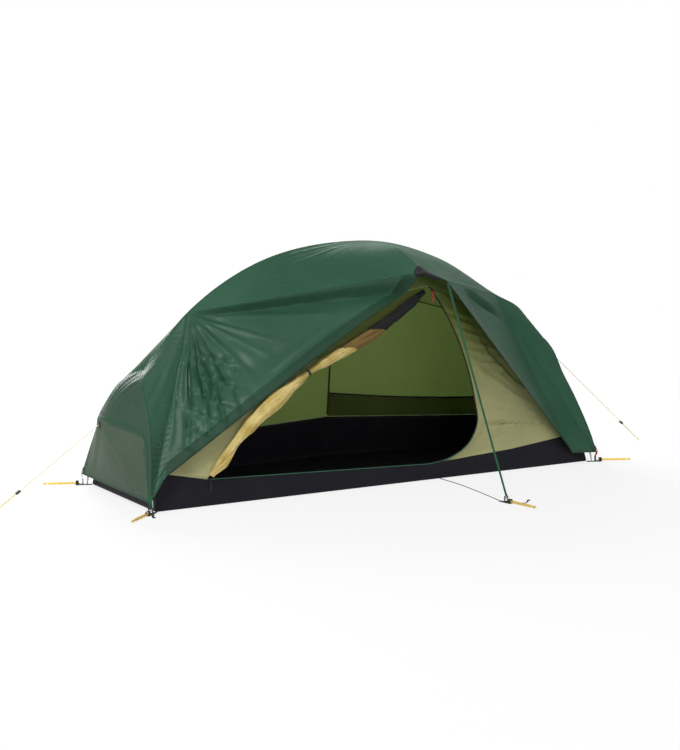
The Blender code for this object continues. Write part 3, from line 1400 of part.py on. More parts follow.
def make_hood(grids, normals):
    """The black patch over the bar's end: it lies on both roof panels and hangs past the door.
    Returns the lowest point of its lip, where the webbing is sewn on."""
    left, right = grids["fly_roof_front_left"], grids["fly_roof_front_right"]
    lift = FLY_THICKNESS + FIT + HOOD_SLACK
    between = ((left[-2], left[-1]), (left[-2], left[-1]), right[0:2], right[1:3])
    columns = []
    for (a, b), share in zip(between, HOOD_COLUMNS):
        up = []
        for t in HOOD_ROWS:
            points, ways = [], []
            for column in (a, b):
                low = column if column[0].z < column[-1].z else column[::-1]
                points.append(low[0].lerp(low[1], t))
                ways.append(normals[key(low[0])].lerp(normals[key(low[1])], t))
            spot = points[0].lerp(points[1], share)
            up.append(spot + ways[0].lerp(ways[1], share).normalized() * lift)
        hang = up[-1] + HOOD_HANG[0]
        columns.append([*up, hang, hang + HOOD_HANG[1]])
    lip = columns[-1][-1].lerp(columns[-2][-1], HOOD_STRAP)
    grid = face_out(columns, MIDDLE * 2)
    mesh = panel_mesh("fly_hood", grid, shared_normals([grid]), FLY_THICKNESS)
    add_object("fly_hood", mesh, BLACK)
    return lip


def main():
    clear_scene()
    curves = fly_curves()
    frames = corner_frames()
    grids, normals = make_fly(curves, frames)
    lip = make_hood(grids, normals)
    make_frame(curves, normals)
    foot, top, starts = tub_rim()
    make_tub(foot, top)
    inner = inner_curves(top, starts)
    make_inner(inner)
    make_roll(inner["hinge"])
    make_zip(inner)
    low = inner["front_left"][-1]
    way = (inner["front_right"][0] - low).normalized()
    make_slider("lower", low + way * 0.012, way, BLACK)
    arc, centre = zip_arc(inner["zip"][0])
    swing = Matrix.Rotation(SLIDER_DOWN / ZIP_RADIUS, 3, "Y")
    spoke = swing @ (arc[0] - centre)
    make_slider("upper", centre + spoke, Vector((spoke.z, 0, -spoke.x)).normalized(), RED)
    make_corners(frames)
    make_guys(grids, normals)
    make_vestibule(lip)
    make_back_point()


main()
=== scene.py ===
"""Looks of the one-person tent: its cloth, webbing, cords and hardware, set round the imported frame.
Metres, in the frame's own axes: +X runs along the tent to its higher end, the door is on -Y."""

import functools
import math

import bmesh
import bpy
import numpy as np
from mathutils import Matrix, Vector, noise
from mathutils.bvhtree import BVHTree


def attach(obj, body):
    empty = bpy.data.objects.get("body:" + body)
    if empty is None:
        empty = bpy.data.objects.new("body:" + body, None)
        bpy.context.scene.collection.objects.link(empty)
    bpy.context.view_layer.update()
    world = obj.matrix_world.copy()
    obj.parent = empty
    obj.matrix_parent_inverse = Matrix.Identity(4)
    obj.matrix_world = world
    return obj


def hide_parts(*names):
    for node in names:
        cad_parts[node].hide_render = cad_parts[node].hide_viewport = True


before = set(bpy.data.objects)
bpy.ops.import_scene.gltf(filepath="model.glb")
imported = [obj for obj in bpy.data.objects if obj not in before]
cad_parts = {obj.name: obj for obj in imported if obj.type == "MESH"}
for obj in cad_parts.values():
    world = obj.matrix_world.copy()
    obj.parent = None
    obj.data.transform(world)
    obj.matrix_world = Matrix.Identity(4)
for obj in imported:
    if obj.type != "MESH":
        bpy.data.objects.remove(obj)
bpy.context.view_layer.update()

# Sizes that the cloth shares with the frame
FLOOR_LENGTH, FLOOR_WIDTH, RIDGE_HEIGHT = 2.20, 0.66, 1.04
HALF, SIDE = FLOOR_LENGTH / 2, FLOOR_WIDTH / 2
BAR_X, BAR_HALF_SPAN, BAR_SAG = 0.125, 0.40, 0.123
KINK_X, KINK_DEPTH = 0.12, 0.11
FLY_CORNER_OUT, FLY_HEM, SEAM_SPLIT = 0.034, 0.046, 0.014
FLY_CLOTH, INNER_CLOTH, TUB_CLOTH = 0.0007, 0.0006, 0.0009


def at(*values):
    return np.array(values, float)


UP = at(0, 0, 1)
MIDDLE = at(0, 0, RIDGE_HEIGHT * 0.3)
HUB_L = at(-HALF + 0.101, 0, RIDGE_HEIGHT - 0.514)
SEAM_L = at(-HALF + 0.303, 0, RIDGE_HEIGHT - 0.287)
SHOULDER_L = at(-HALF + 0.648, 0, RIDGE_HEIGHT - 0.104)
TOP = at(0, 0, RIDGE_HEIGHT)
CROWN = at(BAR_X, 0, RIDGE_HEIGHT - 0.0015)
SHOULDER_R = at(HALF - 0.615, 0, RIDGE_HEIGHT - 0.090)
SEAM_R = at(HALF - 0.297, 0, RIDGE_HEIGHT - 0.262)
HUB_R = at(HALF - 0.080, 0, RIDGE_HEIGHT - 0.470)

# Where the cloth stands off the poles
FLY_SHOULDER_L = SHOULDER_L + at(-0.012, 0, 0.019)
BULGE_R = at(HALF - 0.150, 0, RIDGE_HEIGHT - 0.335)
FLY_HUB_R = HUB_R + at(0.022, 0, 0.014)

# The cross bar's front end as the door's top corners, its back end, and how far it bows
BAR_END_Z = CROWN[2] - BAR_SAG
EDGE_L = at(BAR_X - 0.003, -BAR_HALF_SPAN, BAR_END_Z + 0.002)
EDGE_R = EDGE_L + at(0.118, 0, -0.040)
BAR_BACK = at(BAR_X, BAR_HALF_SPAN, BAR_END_Z)
BAR_BOW = at(0, 0, 0.0312)
HEM_BACK, BACK_BOW = at(KINK_X, SIDE + 0.19, FLY_HEM), at(0, 0.02, 0)

# Per side: where a door panel's free edge ends (inward, out, up), a leg's bow (inward, then across
# and up as shares), where the guy line pulls, and an end wall's bulge (out and up over that point,
# out below it)
FREE_END = {-1: at(0.037, 0.018, 0.138), 1: at(0.118, 0.042, 0.057)}
LEG_SHAPE = {
    -1: ((0.060, 0.21, 0.935), (0.034, 0.49, 0.752), (0.016, 0.70, 0.540), (-0.022, 0.945, 0.130)),
    1: ((0.038, 0.27, 0.895), (0.029, 0.50, 0.668), (0.022, 0.72, 0.480), (-0.020, 0.945, 0.130)),
}
GUY_POINT = {-1: at(-HALF - 0.094, 0, 0.315), 1: at(HALF + 0.015, 0, 0.505)}
END_BULGE = {-1: (0.022, 0.026, 0.012), 1: (0.022, 0.004, 0.045)}
SIDES = ((-1, "left"), (1, "right"))

# Steps of the cloth's grids, each a multiple of the same fineness, the row of an end wall's grid
# where its guy line pulls, and the length of a step of tape
FINE, TAPE_STEP = 8, 0.012
END, ROOF, DOOR_TOP_STEPS, ACROSS, WALL = 3 * FINE, 10 * FINE, 2 * FINE, 6 * FINE, 8 * FINE
GUY_ROW = {-1: 4 * FINE, 1: 2 * FINE}

# The frame's inner cloth and clearance, the inner tent's front, and the zip in front of it
INNER_THICKNESS, GAP = 0.0012, 0.0003
WALL_Y, ZIP_Y, ZIP_DEPTH, ZIP_WIDTH = -SIDE + 0.0006, -SIDE - 0.0003, 0.0016, 0.007


# Curves and grids

def straight(start, end, steps):
    return start + (end - start) * np.linspace(0, 1, steps + 1)[:, None]


def distances(path):
    """How far along a path each of its points lies."""
    return np.concatenate([[0], np.cumsum(np.linalg.norm(np.diff(path, axis=0), axis=1))])


def even(path, steps):
    """The path as that many steps of equal length."""
    path = np.asarray(path, float)
    along = distances(path)
    want = np.linspace(0, along[-1], steps + 1)
    return np.stack([np.interp(want, along, path[:, k]) for k in range(3)], axis=1)


def spline(points, steps):
    """Evenly spaced points along a smooth curve through the given ones, however they are spaced."""
    p = np.asarray(points, float)
    gap = np.linalg.norm(np.diff(p, axis=0), axis=1)[:, None]
    way = np.diff(p, axis=0) / gap
    inner = (way[:-1] * gap[1:] + way[1:] * gap[:-1]) / (gap[:-1] + gap[1:])
    tangent = np.vstack([way[:1], inner, way[-1:]])
    t = np.linspace(0, 1, 24, endpoint=False)[:, None]
    fine = []
    for a, b, first, last, span in zip(p, p[1:], tangent, tangent[1:], gap):
        ease = 3 * t**2 - 2 * t**3
        pull = first * (t - 2 * t**2 + t**3) + last * (t**3 - t**2)
        fine.append(a * (1 - ease) + b * ease + span * pull)
    fine.append(p[-1:])
    return even(np.vstack(fine), steps)


def join(*paths):
    """Paths end to end, each shared point once."""
    return np.vstack([*[p[:-1] for p in paths[:-1]], paths[-1]])


def length_of(path):
    return float(np.linalg.norm(np.diff(path, axis=0), axis=1).sum())


def coons(bottom, top, left, right):
    """The grid that four edges span; left and right run from bottom to top."""
    u = np.linspace(0, 1, len(bottom))[:, None, None]
    v = np.linspace(0, 1, len(left))[None, :, None]
    along = bottom[:, None] * (1 - v) + top[:, None] * v
    across = left[None] * (1 - u) + right[None] * u
    low = bottom[0] * (1 - u) + bottom[-1] * u
    high = top[0] * (1 - u) + top[-1] * u
    return along + across - (low * (1 - v) + high * v)


def unit(vectors):
    length = np.linalg.norm(vectors, axis=-1, keepdims=True)
    return vectors / np.maximum(length, 1e-9)


def smooth_step(x):
    x = np.clip(x, 0, 1)
    return x * x * (3 - 2 * x)


def grid_normals(grid):
    """Unit normals of a grid, away from the tent's middle."""
    normal = unit(np.cross(np.gradient(grid, axis=0), np.gradient(grid, axis=1)))
    sign = np.sign((normal * (grid - MIDDLE)).sum())
    return normal * (sign if sign else 1)


def rough(points, scale, seed, octaves=3):
    """Smooth noise from -1 to 1 at each point of a grid."""
    flat = points.reshape(-1, 3) * scale + seed * 7.31
    values = [noise.fractal(Vector(p), 0.9, 2.1, octaves) for p in flat]
    return np.array(values).reshape(points.shape[:-1])


def sample(grid, i, j):
    """A point between the points of a grid."""
    a, b = min(int(i), grid.shape[0] - 2), min(int(j), grid.shape[1] - 2)
    s, t = i - a, j - b
    low = grid[a, b] * (1 - s) + grid[a + 1, b] * s
    high = grid[a, b + 1] * (1 - s) + grid[a + 1, b + 1] * s
    return low * (1 - t) + high * t


# Meshes

def link_object(name, data):
    made = bpy.data.objects.new(name, data)
    bpy.context.scene.collection.objects.link(made)
    return made


def flat_map(grid):
    """The grid on its own best plane, in metres, with its threads level."""
    away = grid.reshape(-1, 3) - grid.reshape(-1, 3).mean(0)
    normal = np.linalg.svd(away, full_matrices=False)[2][2]
    level = np.cross(UP, normal)
    level = unit(level) if np.linalg.norm(level) > 0.05 else at(1, 0, 0)
    return np.stack([away @ level, away @ np.cross(normal, level)], axis=1)


def length_map(grid):
    """Distance along the grid's middle, and across it from that middle, in metres."""
    along, across = distances(grid[:, grid.shape[1] // 2]), distances(grid[len(grid) // 2])
    u, v = np.meshgrid(along, across - across[-1] / 2, indexing="ij")
    return np.stack([u.ravel(), v.ravel()], axis=1)


def surface(name, panels, finishes, thickness=0.0, sharp=48.0, away=MIDDLE):
    """One mesh over grids that share their rims, welded there. A panel is its grid, the number
    of the finish of each of its faces, and its map."""
    verts, faces, maps, kinds, first = [], [], [], [], 0
    for grid, kind, uv in panels:
        cols, rows = grid.shape[:2]
        index = first + np.arange(cols * rows).reshape(cols, rows)
        quads = np.stack([index[:-1, :-1], index[1:, :-1], index[1:, 1:], index[:-1, 1:]], axis=2)
        verts.append(grid.reshape(-1, 3))
        faces.append(quads.reshape(-1, 4))
        maps.append(uv)
        kinds.append(np.broadcast_to(kind, (cols - 1, rows - 1)).ravel())
        first += cols * rows
    verts, faces, maps = np.vstack(verts), np.vstack(faces), np.vstack(maps)
    mesh = bpy.data.meshes.new(name)
    mesh.from_pydata(verts.tolist(), [], faces.tolist())
    mesh.uv_layers.new(name="cloth").data.foreach_set("uv", maps[faces.ravel()].ravel())
    mesh.polygons.foreach_set("material_index", np.concatenate(kinds).astype(int))
    shape = bmesh.new()
    shape.from_mesh(mesh)
    bmesh.ops.remove_doubles(shape, verts=shape.verts, dist=2e-5)
    bmesh.ops.recalc_face_normals(shape, faces=shape.faces)
    if thickness:
        out = Vector(away)
        facing = [f.normal.dot(f.calc_center_median() - out) * f.calc_area() for f in shape.faces]
        if sum(facing) < 0:
            bmesh.ops.reverse_faces(shape, faces=shape.faces)
    shape.to_mesh(mesh)
    shape.free()
    mesh.shade_smooth()
    mesh.set_sharp_from_angle(angle=math.radians(sharp))
    for finish in finishes:
        mesh.materials.append(looks[finish])
    made = link_object(name, mesh)
    if thickness:
        solid = made.modifiers.new("thickness", "SOLIDIFY")
        solid.thickness = thickness
        solid.offset = 0
    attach(made, "root")
    return made


def tube(name, rings, finishes, kind=0):
    """A closed body over rings of points."""
    rings = np.concatenate([rings, rings[:, :1]], axis=1)
    ends = [np.broadcast_to(ring[:-1].mean(0), ring.shape)[None] for ring in (rings[0], rings[-1])]
    grid = np.concatenate([ends[0], rings, ends[1]])
    return surface(name, [(grid, kind, length_map(grid))], finishes)


def round_rod(name, path, radius, finish, sides=8):
    """A rod along a path; its radius is one number, or one for each point."""
    path = np.asarray(path, float)
    tangent = unit(np.gradient(path, axis=0))
    side = unit(np.cross(tangent, UP + at(0.013, 0.31, 0)))
    top = np.cross(side, tangent)
    turn = np.linspace(0, 2 * math.pi, sides, endpoint=False)[None, :, None]
    radius = np.broadcast_to(np.asarray(radius, float), len(path))[:, None, None]
    rings = path[:, None] + radius * (side[:, None] * np.cos(turn) + top[:, None] * np.sin(turn))
    return tube(name, rings, [finish])


def toggle(name, start, end, radius, swell, finish="plastic", steps=10):
    """A short bar that swells to its middle."""
    sizes = radius + swell * np.sin(np.linspace(0, math.pi, steps + 1))
    return round_rod(name, straight(start, end, steps), sizes, finish)


# A tape's section: how far across it, and how much of its thickness outwards
RIBBON_PROFILE = (
    (-0.5, 0), (-0.44, 0.8), (-0.2, 1), (0.2, 1), (0.44, 0.8), (0.5, 0), (0.3, -0.1), (-0.3, -0.1),
)
TAPE_PROFILE = ((-0.5, 0.15), (-0.43, 1), (-0.2, 0.8), (0, 1), (0.2, 0.8), (0.43, 1), (0.5, 0.15))


def ribbon(name, path, outward, width, thickness, finish):
    """A flat tape along a path, crowned a little, whose face looks outward."""
    path = np.asarray(path, float)
    tangent = unit(np.gradient(path, axis=0))
    outward = np.broadcast_to(outward, path.shape)
    face = unit(outward - (outward * tangent).sum(1)[:, None] * tangent)
    side = np.cross(tangent, face) * width
    rings = np.stack([path + side * a + face * (b * thickness) for a, b in RIBBON_PROFILE], axis=1)
    return tube(name, rings, [finish])


def skin_of(made):
    faces = [tuple(p.vertices) for p in made.data.polygons]
    return BVHTree.FromPolygons([v.co for v in made.data.vertices], faces)


def tape(name, path, skin, width, rise, finish, lift=FLY_CLOTH / 2, inside=False):
    """A tape sewn over a skin along a path: each of its sides follows the cloth under it."""
    path = np.asarray(path, float)
    sign = -1 if inside else 1
    rows = []
    for spot, way in zip(path, unit(np.gradient(path, axis=0))):
        near = skin.find_nearest_range(Vector(spot), width)
        normal = unit(sum((np.array(hit[1]) for hit in near), at(0, 0, 0)))
        side = unit(np.cross(way, normal))
        row = []
        for across, height in TAPE_PROFILE:
            place, face, _, _ = skin.find_nearest(Vector(spot + side * (across * width)))
            row.append(np.array(place) + np.array(face) * sign * (lift + height * rise))
        rows.append(row)
    grid = np.array(rows)
    return surface(name, [(grid, 0, length_map(grid))], [finish], thickness=rise * 0.5, sharp=70)


def cord_curve(name, path, radius, finish):
    data = bpy.data.curves.new(name, "CURVE")
    data.dimensions = "3D"
    data.bevel_depth = radius
    data.bevel_resolution = 3
    data.use_fill_caps = True
    line = data.splines.new("POLY")
    line.points.add(len(path) - 1)
    for point, spot in zip(line.points, path):
        point.co = (*spot, 1)
    data.materials.append(looks[finish])
    made = link_object(name, data)
    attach(made, "root")
    return made


def area_of(grid):
    a, b, c, d = grid[:-1, :-1], grid[1:, :-1], grid[1:, 1:], grid[:-1, 1:]
    return float(np.linalg.norm(np.cross(c - a, d - b), axis=2).sum() / 2)


# Materials

def linear(*rgb):
    """An sRGB colour from 0 to 255 as linear shares."""
    shares = [c / 255 for c in rgb]
    return tuple(c / 12.92 if c <= 0.04045 else ((c + 0.055) / 1.055) ** 2.4 for c in shares)


def feed(tree, socket, value):
    """Gives a node's input its value: another node's output, a number or a colour."""
    if isinstance(value, bpy.types.NodeSocket):
        tree.links.new(value, socket)
    else:
        socket.default_value = value


def node(tree, kind, values=None, **settings):
    """A new shader node, with values for its inputs by name or number, and its settings."""
    made = tree.nodes.new("ShaderNode" + kind)
    for word, value in settings.items():
        setattr(made, word, value)
    for word, value in (values or {}).items():
        feed(tree, made.inputs[word], value)
    return made


def new_material(name, roughness, metallic=0.0, specular=0.5):
    made = bpy.data.materials.new(name)
    made.use_nodes = True
    shader = made.node_tree.nodes["Principled BSDF"]
    shader.inputs["Roughness"].default_value = roughness
    shader.inputs["Metallic"].default_value = metallic
    shader.inputs["Specular IOR Level"].default_value = specular
    return made, made.node_tree, shader


def sum_of(tree, operation, *terms):
    """A math node over its terms, each a socket or a number."""
    return node(tree, "Math", dict(enumerate(terms)), operation=operation).outputs[0]


def mixed(tree, share, first, second):
    """A colour between two, each a socket or a colour, by a share that is a socket."""
    first, second = ((*c[:3], 1) if isinstance(c, tuple) else c for c in (first, second))
    values = {"Factor": share, 6: first, 7: second}
    return node(tree, "Mix", values, data_type="RGBA").outputs[2]


def ramp(tree, value, low, high, **settings):
    """A value as a share that runs from 0 to 1 between two of its levels."""
    values = {"Value": value, "From Min": low, "From Max": high}
    return node(tree, "MapRange", values, **settings).outputs["Result"]


def noise_share(tree, vector, scale, low, high, detail=4.0, distortion=0.0):
    """Noise as a share that runs from 0 to 1 between two of its levels."""
    values = {"Vector": vector, "Scale": scale, "Detail": detail, "Distortion": distortion}
    made = node(tree, "TexNoise", {**values, "Roughness": NOISE_ROUGHNESS})
    return ramp(tree, made.outputs["Fac"], low, high)


def mix_shaders(tree, share, first, second, output="Material Output"):
    """Sends a mix of two shaders to the output; the share is a socket or a number."""
    mix = node(tree, "MixShader", {"Fac": share, 1: first.outputs[0], 2: second.outputs[0]})
    feed(tree, tree.nodes[output].inputs["Surface"], mix.outputs[0])


def relief(tree, height, distance, strength, under=None):
    values = {"Height": height, "Distance": distance, "Strength": strength}
    if under is not None:
        values["Normal"] = under
    return node(tree, "Bump", values).outputs["Normal"]


def dress(tree, shader, tint, normal):
    feed(tree, shader.inputs["Base Color"], tint)
    feed(tree, shader.inputs["Normal"], normal)


# A heavier thread in each pitch of the cloth, the stitches of a seam, and the grain of all noise
THREAD_SHARE, THREAD_MIX, WEAVE_SCALE = 0.14, 0.55, 170.0
STITCH_WIDTH, STITCH_STEP, STITCH_SHARE, STITCH_RISE = 0.00045, 0.0036, 0.68, 4.0
NOISE_ROUGHNESS = 0.6


def fabric(
    name, colour, second, roughness=0.5, through=0.0, pitch=0.005, crease=0.0012, specular=0.12,
    stitch=None, thread=0.16, glow=None, patches=4.0, painted_shade=None,
):
    """Woven cloth: two tints in soft patches, a grid of heavier threads, weave and fine creases in
    its relief, light that comes through it, and rows of stitches where it is a seam. Where a painted
    shade is given, its colour darkens towards that shade between two heights."""
    made, tree, shader = new_material(name, roughness, specular=specular)
    calc = functools.partial(sum_of, tree)
    colour, second = linear(*colour), linear(*second)
    uv = node(tree, "UVMap", uv_map="cloth").outputs["UV"]
    parts = node(tree, "SeparateXYZ", {0: uv}).outputs
    place = node(tree, "TexCoord").outputs["Object"]
    tint = mixed(tree, noise_share(tree, place, patches, 0.35, 0.65), colour, second)
    # Painted shade: the colour darkens towards a shaded tint between two heights. It stands in for
    # the shadow and green light that the fly casts on the walls below it.
    if painted_shade:
        shadow_tint, low, high = painted_shade
        height = node(tree, "SeparateXYZ", {0: place}).outputs["Z"]
        share = ramp(tree, height, low, high, interpolation_type="SMOOTHSTEP")
        tint = mixed(tree, share, tint, linear(*shadow_tint))
    lines = None
    for word in "XY":
        part = calc("FRACT", calc("DIVIDE", parts[word], pitch))
        one = calc("LESS_THAN", part, THREAD_SHARE)
        lines = one if lines is None else calc("MAXIMUM", lines, one)
    heavy = tuple(min(1.0, c * (1 + thread) + 0.002) for c in colour)
    tint = mixed(tree, calc("MULTIPLY", lines, THREAD_MIX), tint, heavy)
    weave = lines
    for word in "XY":
        wave = node(tree, "TexWave", {"Vector": uv, "Scale": WEAVE_SCALE}, bands_direction=word)
        weave = calc("ADD", weave, wave.outputs["Fac"])
    if stitch:
        row, colour_of = stitch
        off = calc("ABSOLUTE", calc("SUBTRACT", calc("ABSOLUTE", parts["Y"]), row))
        near = calc("LESS_THAN", off, STITCH_WIDTH)
        step = calc("FRACT", calc("DIVIDE", parts["X"], STITCH_STEP))
        stitches = calc("MULTIPLY", near, calc("LESS_THAN", step, STITCH_SHARE))
        tint = mixed(tree, stitches, tint, linear(*colour_of))
        weave = calc("ADD", weave, calc("MULTIPLY", stitches, STITCH_RISE))
    fine = relief(tree, weave, 0.00012, 0.35)
    creases = noise_share(tree, place, 22.0, 0.0, 1.0, 5.0, 1.4)
    dress(tree, shader, tint, relief(tree, creases, crease, 0.8, fine))
    if through:
        back = node(tree, "BsdfTranslucent", {"Color": (*glow, 1) if glow else tint})
        mix_shaders(tree, through, shader, back)
    return made


def webbing(name, colour, ribs=140.0):
    """Woven tape or cord: ribs in its relief and a paler fuzz."""
    made, tree, shader = new_material(name, 0.78, specular=0.1)
    shader.inputs["Sheen Weight"].default_value = 0.2
    place = node(tree, "TexCoord").outputs["Object"]
    colour = linear(*colour)
    light = tuple(c * 1.8 + 0.004 for c in colour)
    tint = mixed(tree, noise_share(tree, place, 300.0, 0.2, 0.8, 2.0), colour, light)
    values = {"Vector": place, "Scale": ribs, "Distortion": 0.6}
    rib = node(tree, "TexWave", values, bands_direction="DIAGONAL").outputs["Fac"]
    dress(tree, shader, tint, relief(tree, rib, 0.0003, 0.6))
    return made


def moulded(name, colour, roughness, metallic=0.0, wear=1.35):
    """Moulded plastic or anodised metal: fine grain, and a paler tint in worn patches."""
    made, tree, shader = new_material(name, roughness, metallic, 0.3)
    place = node(tree, "TexCoord").outputs["Object"]
    colour = linear(*colour)
    pale = tuple(min(1.0, c * wear + 0.003) for c in colour)
    tint = mixed(tree, noise_share(tree, place, 60.0, 0.45, 0.7, 3.0), colour, pale)
    grain = noise_share(tree, place, 900.0, 0.0, 1.0, 2.0)
    dress(tree, shader, tint, relief(tree, grain, 0.00006, 0.5))
    return made


PALE_THREAD, GREY_THREAD, TUB_THREAD = (66, 110, 84), (60, 62, 62), (70, 70, 74)
SEAM_CLOTH = {"pitch": 0.004, "crease": 0.0004}
EDGE_CLOTH = {"pitch": 0.0012, "crease": 0.0003}
FLY_GLOW = (0.5, 0.6, 0.4)

# Each cloth's name, its two tints, its roughness, how much light it lets through, and the rest
CLOTHS = {
    "fly": (
        "fly_cloth", (65, 108, 87), (58, 98, 79), 0.42, 0.33, {"specular": 0.06, "glow": FLY_GLOW},
    ),
    "fly_front": (
        "fly_front_cloth", (60, 102, 81), (54, 93, 73), 0.34, 0.33,
        {"specular": 0.24, "glow": FLY_GLOW},
    ),
    "fly_back": (
        "fly_back_cloth", (64, 108, 86), (58, 99, 79), 0.5, 0.6,
        {"specular": 0.06, "glow": (0.56, 0.66, 0.5)},
    ),
    # The doubled cloth beside the door's free edge lets no light through and is darkened with painted
    # shade.
    "band": ("fly_doubled_cloth_painted_shade", (38, 68, 50), (34, 62, 46), 0.5, 0.0, {}),
    "fly_end": ("fly_end_cloth", (68, 92, 77), (63, 86, 72), 0.5, 0.2, {}),
    "fly_low": ("fly_low_end_cloth", (86, 104, 85), (80, 98, 80), 0.5, 0.2, {}),
    "seam": (
        "seam_tape", (42, 80, 60), (38, 72, 54), 0.5, 0.0,
        {"stitch": (0.0028, PALE_THREAD), **SEAM_CLOTH},
    ),
    "hem": (
        "hem_tape", (44, 76, 60), (40, 70, 55), 0.5, 0.0,
        {"stitch": (0.0035, PALE_THREAD), **SEAM_CLOTH},
    ),
    "edge_tape": ("edge_tape", (28, 48, 38), (24, 42, 33), 0.6, 0.0, EDGE_CLOTH),
    "black_tape": (
        "black_tape", (26, 28, 28), (22, 23, 24), 0.6, 0.0,
        {"stitch": (0.0028, GREY_THREAD), **EDGE_CLOTH},
    ),
    "hood": ("hood_cloth", (24, 25, 28), (20, 21, 24), 0.6, 0.0, {"pitch": 0.002, "crease": 0.001}),
    # The inner cloth darkens towards its top to an olive painted shade, where the fly shades it and
    # tints its light green.
    "inner": (
        "inner_cloth", (216, 214, 166), (206, 204, 154), 0.7, 0.45,
        {"pitch": 0.004, "painted_shade": ((142, 156, 74), 0.26, 0.74)},
    ),
    # The back wall is the inner cloth painted darker and olive green: painted shade and green light
    # from the fly, on top of the light that comes through it.
    "inner_back": (
        "inner_back_cloth_painted_green_shade", (172, 184, 118), (164, 176, 110), 0.7, 0.6,
        {"pitch": 0.004, "glow": (0.58, 0.62, 0.40)},
    ),
    "net": (
        "netting", (176, 182, 116), (166, 172, 108), 0.85, 0.5,
        {"pitch": 0.002, "crease": 0.0006, "glow": (0.6, 0.65, 0.42)},
    ),
    "pocket": (
        "pocket_netting", (100, 108, 66), (88, 96, 58), 0.85, 0.62,
        {"pitch": 0.002, "glow": (0.56, 0.58, 0.40)},
    ),
    "black_net": (
        "black_netting", (36, 36, 36), (28, 28, 29), 0.8, 0.0, {"pitch": 0.002, "crease": 0.002},
    ),
    "tan": ("tan_cloth", (128, 106, 60), (96, 78, 44), 0.7, 0.1, {"pitch": 0.003, "crease": 0.002}),
    # The rolled door's darker second tint, in small patches, is painted shade in the roll's folds.
    "roll": (
        "rolled_cloth", (226, 206, 138), (182, 154, 74), 0.6, 0.1,
        {"pitch": 0.004, "crease": 0.002, "patches": 14.0},
    ),
    "tub": (
        "groundsheet_cloth", (34, 33, 39), (29, 29, 34), 0.5, 0.0,
        {"crease": 0.001, "specular": 0.08, "thread": 0.3},
    ),
    "tub_seam": (
        "groundsheet_seam", (40, 39, 45), (36, 35, 41), 0.5, 0.0,
        {"stitch": (0.0028, TUB_THREAD), **SEAM_CLOTH},
    ),
}
FINE_RIBS = 300.0
WEBBINGS = {
    "black_web": ("black_webbing_weave", (30, 30, 32)),
    "green_web": ("green_webbing_weave", (26, 78, 52)),
    "red_web": ("red_webbing_weave", (190, 30, 36)),
    "line": ("pale_cord_weave", (206, 194, 128), FINE_RIBS),
    "dark_line": ("dark_cord_weave", (36, 37, 38), FINE_RIBS),
    "piping": ("green_piping_weave", (56, 104, 84), FINE_RIBS),
}
# Each moulding's name, colour and roughness, how metallic it is, and how pale it wears
MOULDINGS = {
    "plastic": ("black_moulding", (30, 30, 31), 0.42),
    "alloy": ("anodised_tube", (176, 178, 180), 0.3, 1.0, 1.15),
    "gold": ("gold_anodised", (238, 206, 112), 0.4, 0.55, 1.1),
    "red": ("red_moulding", (196, 38, 42), 0.4),
}


def make_materials():
    made = {finish: fabric(*values, **more) for finish, (*values, more) in CLOTHS.items()}
    made.update({finish: webbing(*values) for finish, values in WEBBINGS.items()})
    made.update({finish: moulded(*values) for finish, values in MOULDINGS.items()})
    return made


# Flysheet: its edges and panels

def fly_corner(x_side, y_side):
    return at(x_side * (HALF + FLY_CORNER_OUT), y_side * (SIDE + FLY_CORNER_OUT), FLY_HEM)


def free_end(side):
    """Where a door panel's free edge ends, just above the ground."""
    end = FREE_END[side]
    return at(side * (HALF - end[0]), -SIDE - end[1], end[2])


def seam_foot(side):
    corner = fly_corner(side, -1)
    return corner + unit(free_end(side) - corner) * SEAM_SPLIT


def leg_line(hub, x_side, y_side):
    """A leg's line under the fly, from the hub to the corner."""
    corner = fly_corner(x_side, y_side)
    span = hub[2] - corner[2]
    points = [
        at(x_side * (HALF - inward), corner[1] * across, corner[2] + span * height)
        for inward, across, height in LEG_SHAPE[x_side]
    ]
    return spline([hub, *points, corner], ROOF)


def fly_curves():
    """Every seam and edge that the flysheet's panels share."""
    c = {}
    joints = (SEAM_L, CROWN, SEAM_R)
    over = [HUB_L, SEAM_L, FLY_SHOULDER_L, TOP, CROWN, SHOULDER_R, SEAM_R, BULGE_R, FLY_HUB_R]
    ridge = spline(over, 480)
    cuts = [int(np.argmin(np.linalg.norm(ridge - p, axis=1))) for p in joints]
    ridge[cuts] = joints
    c["ridge_end", -1] = even(ridge[: cuts[0] + 1], END)
    c["ridge", -1] = even(ridge[cuts[0] : cuts[1] + 1], ROOF)
    c["ridge", 1] = even(ridge[cuts[1] : cuts[2] + 1], ROOF + DOOR_TOP_STEPS)
    c["ridge_end", 1] = even(ridge[cuts[2] :], END)
    c["fold", -1], c["fold", 1] = straight(SEAM_L, EDGE_L, ROOF), straight(EDGE_R, SEAM_R, ROOF)
    c["door_top"] = straight(EDGE_L, EDGE_R, DOOR_TOP_STEPS)
    c["fold_back", -1] = straight(SEAM_L, BAR_BACK, ROOF)
    c["fold_back", 1] = straight(BAR_BACK, SEAM_R, ROOF + DOOR_TOP_STEPS)
    for side, bar_end in ((-1, EDGE_L), (1, BAR_BACK)):
        c["bar", side] = spline([bar_end, (bar_end + CROWN) / 2 + BAR_BOW, CROWN], ACROSS)
    for side, hub, seam, top in ((-1, HUB_L, SEAM_L, EDGE_L), (1, FLY_HUB_R, SEAM_R, EDGE_R)):
        for y_side in (-1, 1):
            c["leg", side, y_side] = leg_line(hub, side, y_side)
        low, end = seam_foot(side), free_end(side)
        c["seam", side] = straight(seam, low, ROOF)
        c["edge", side] = join(straight(low, end, FINE), straight(end, top, 2 * ACROSS - FINE))
    return c


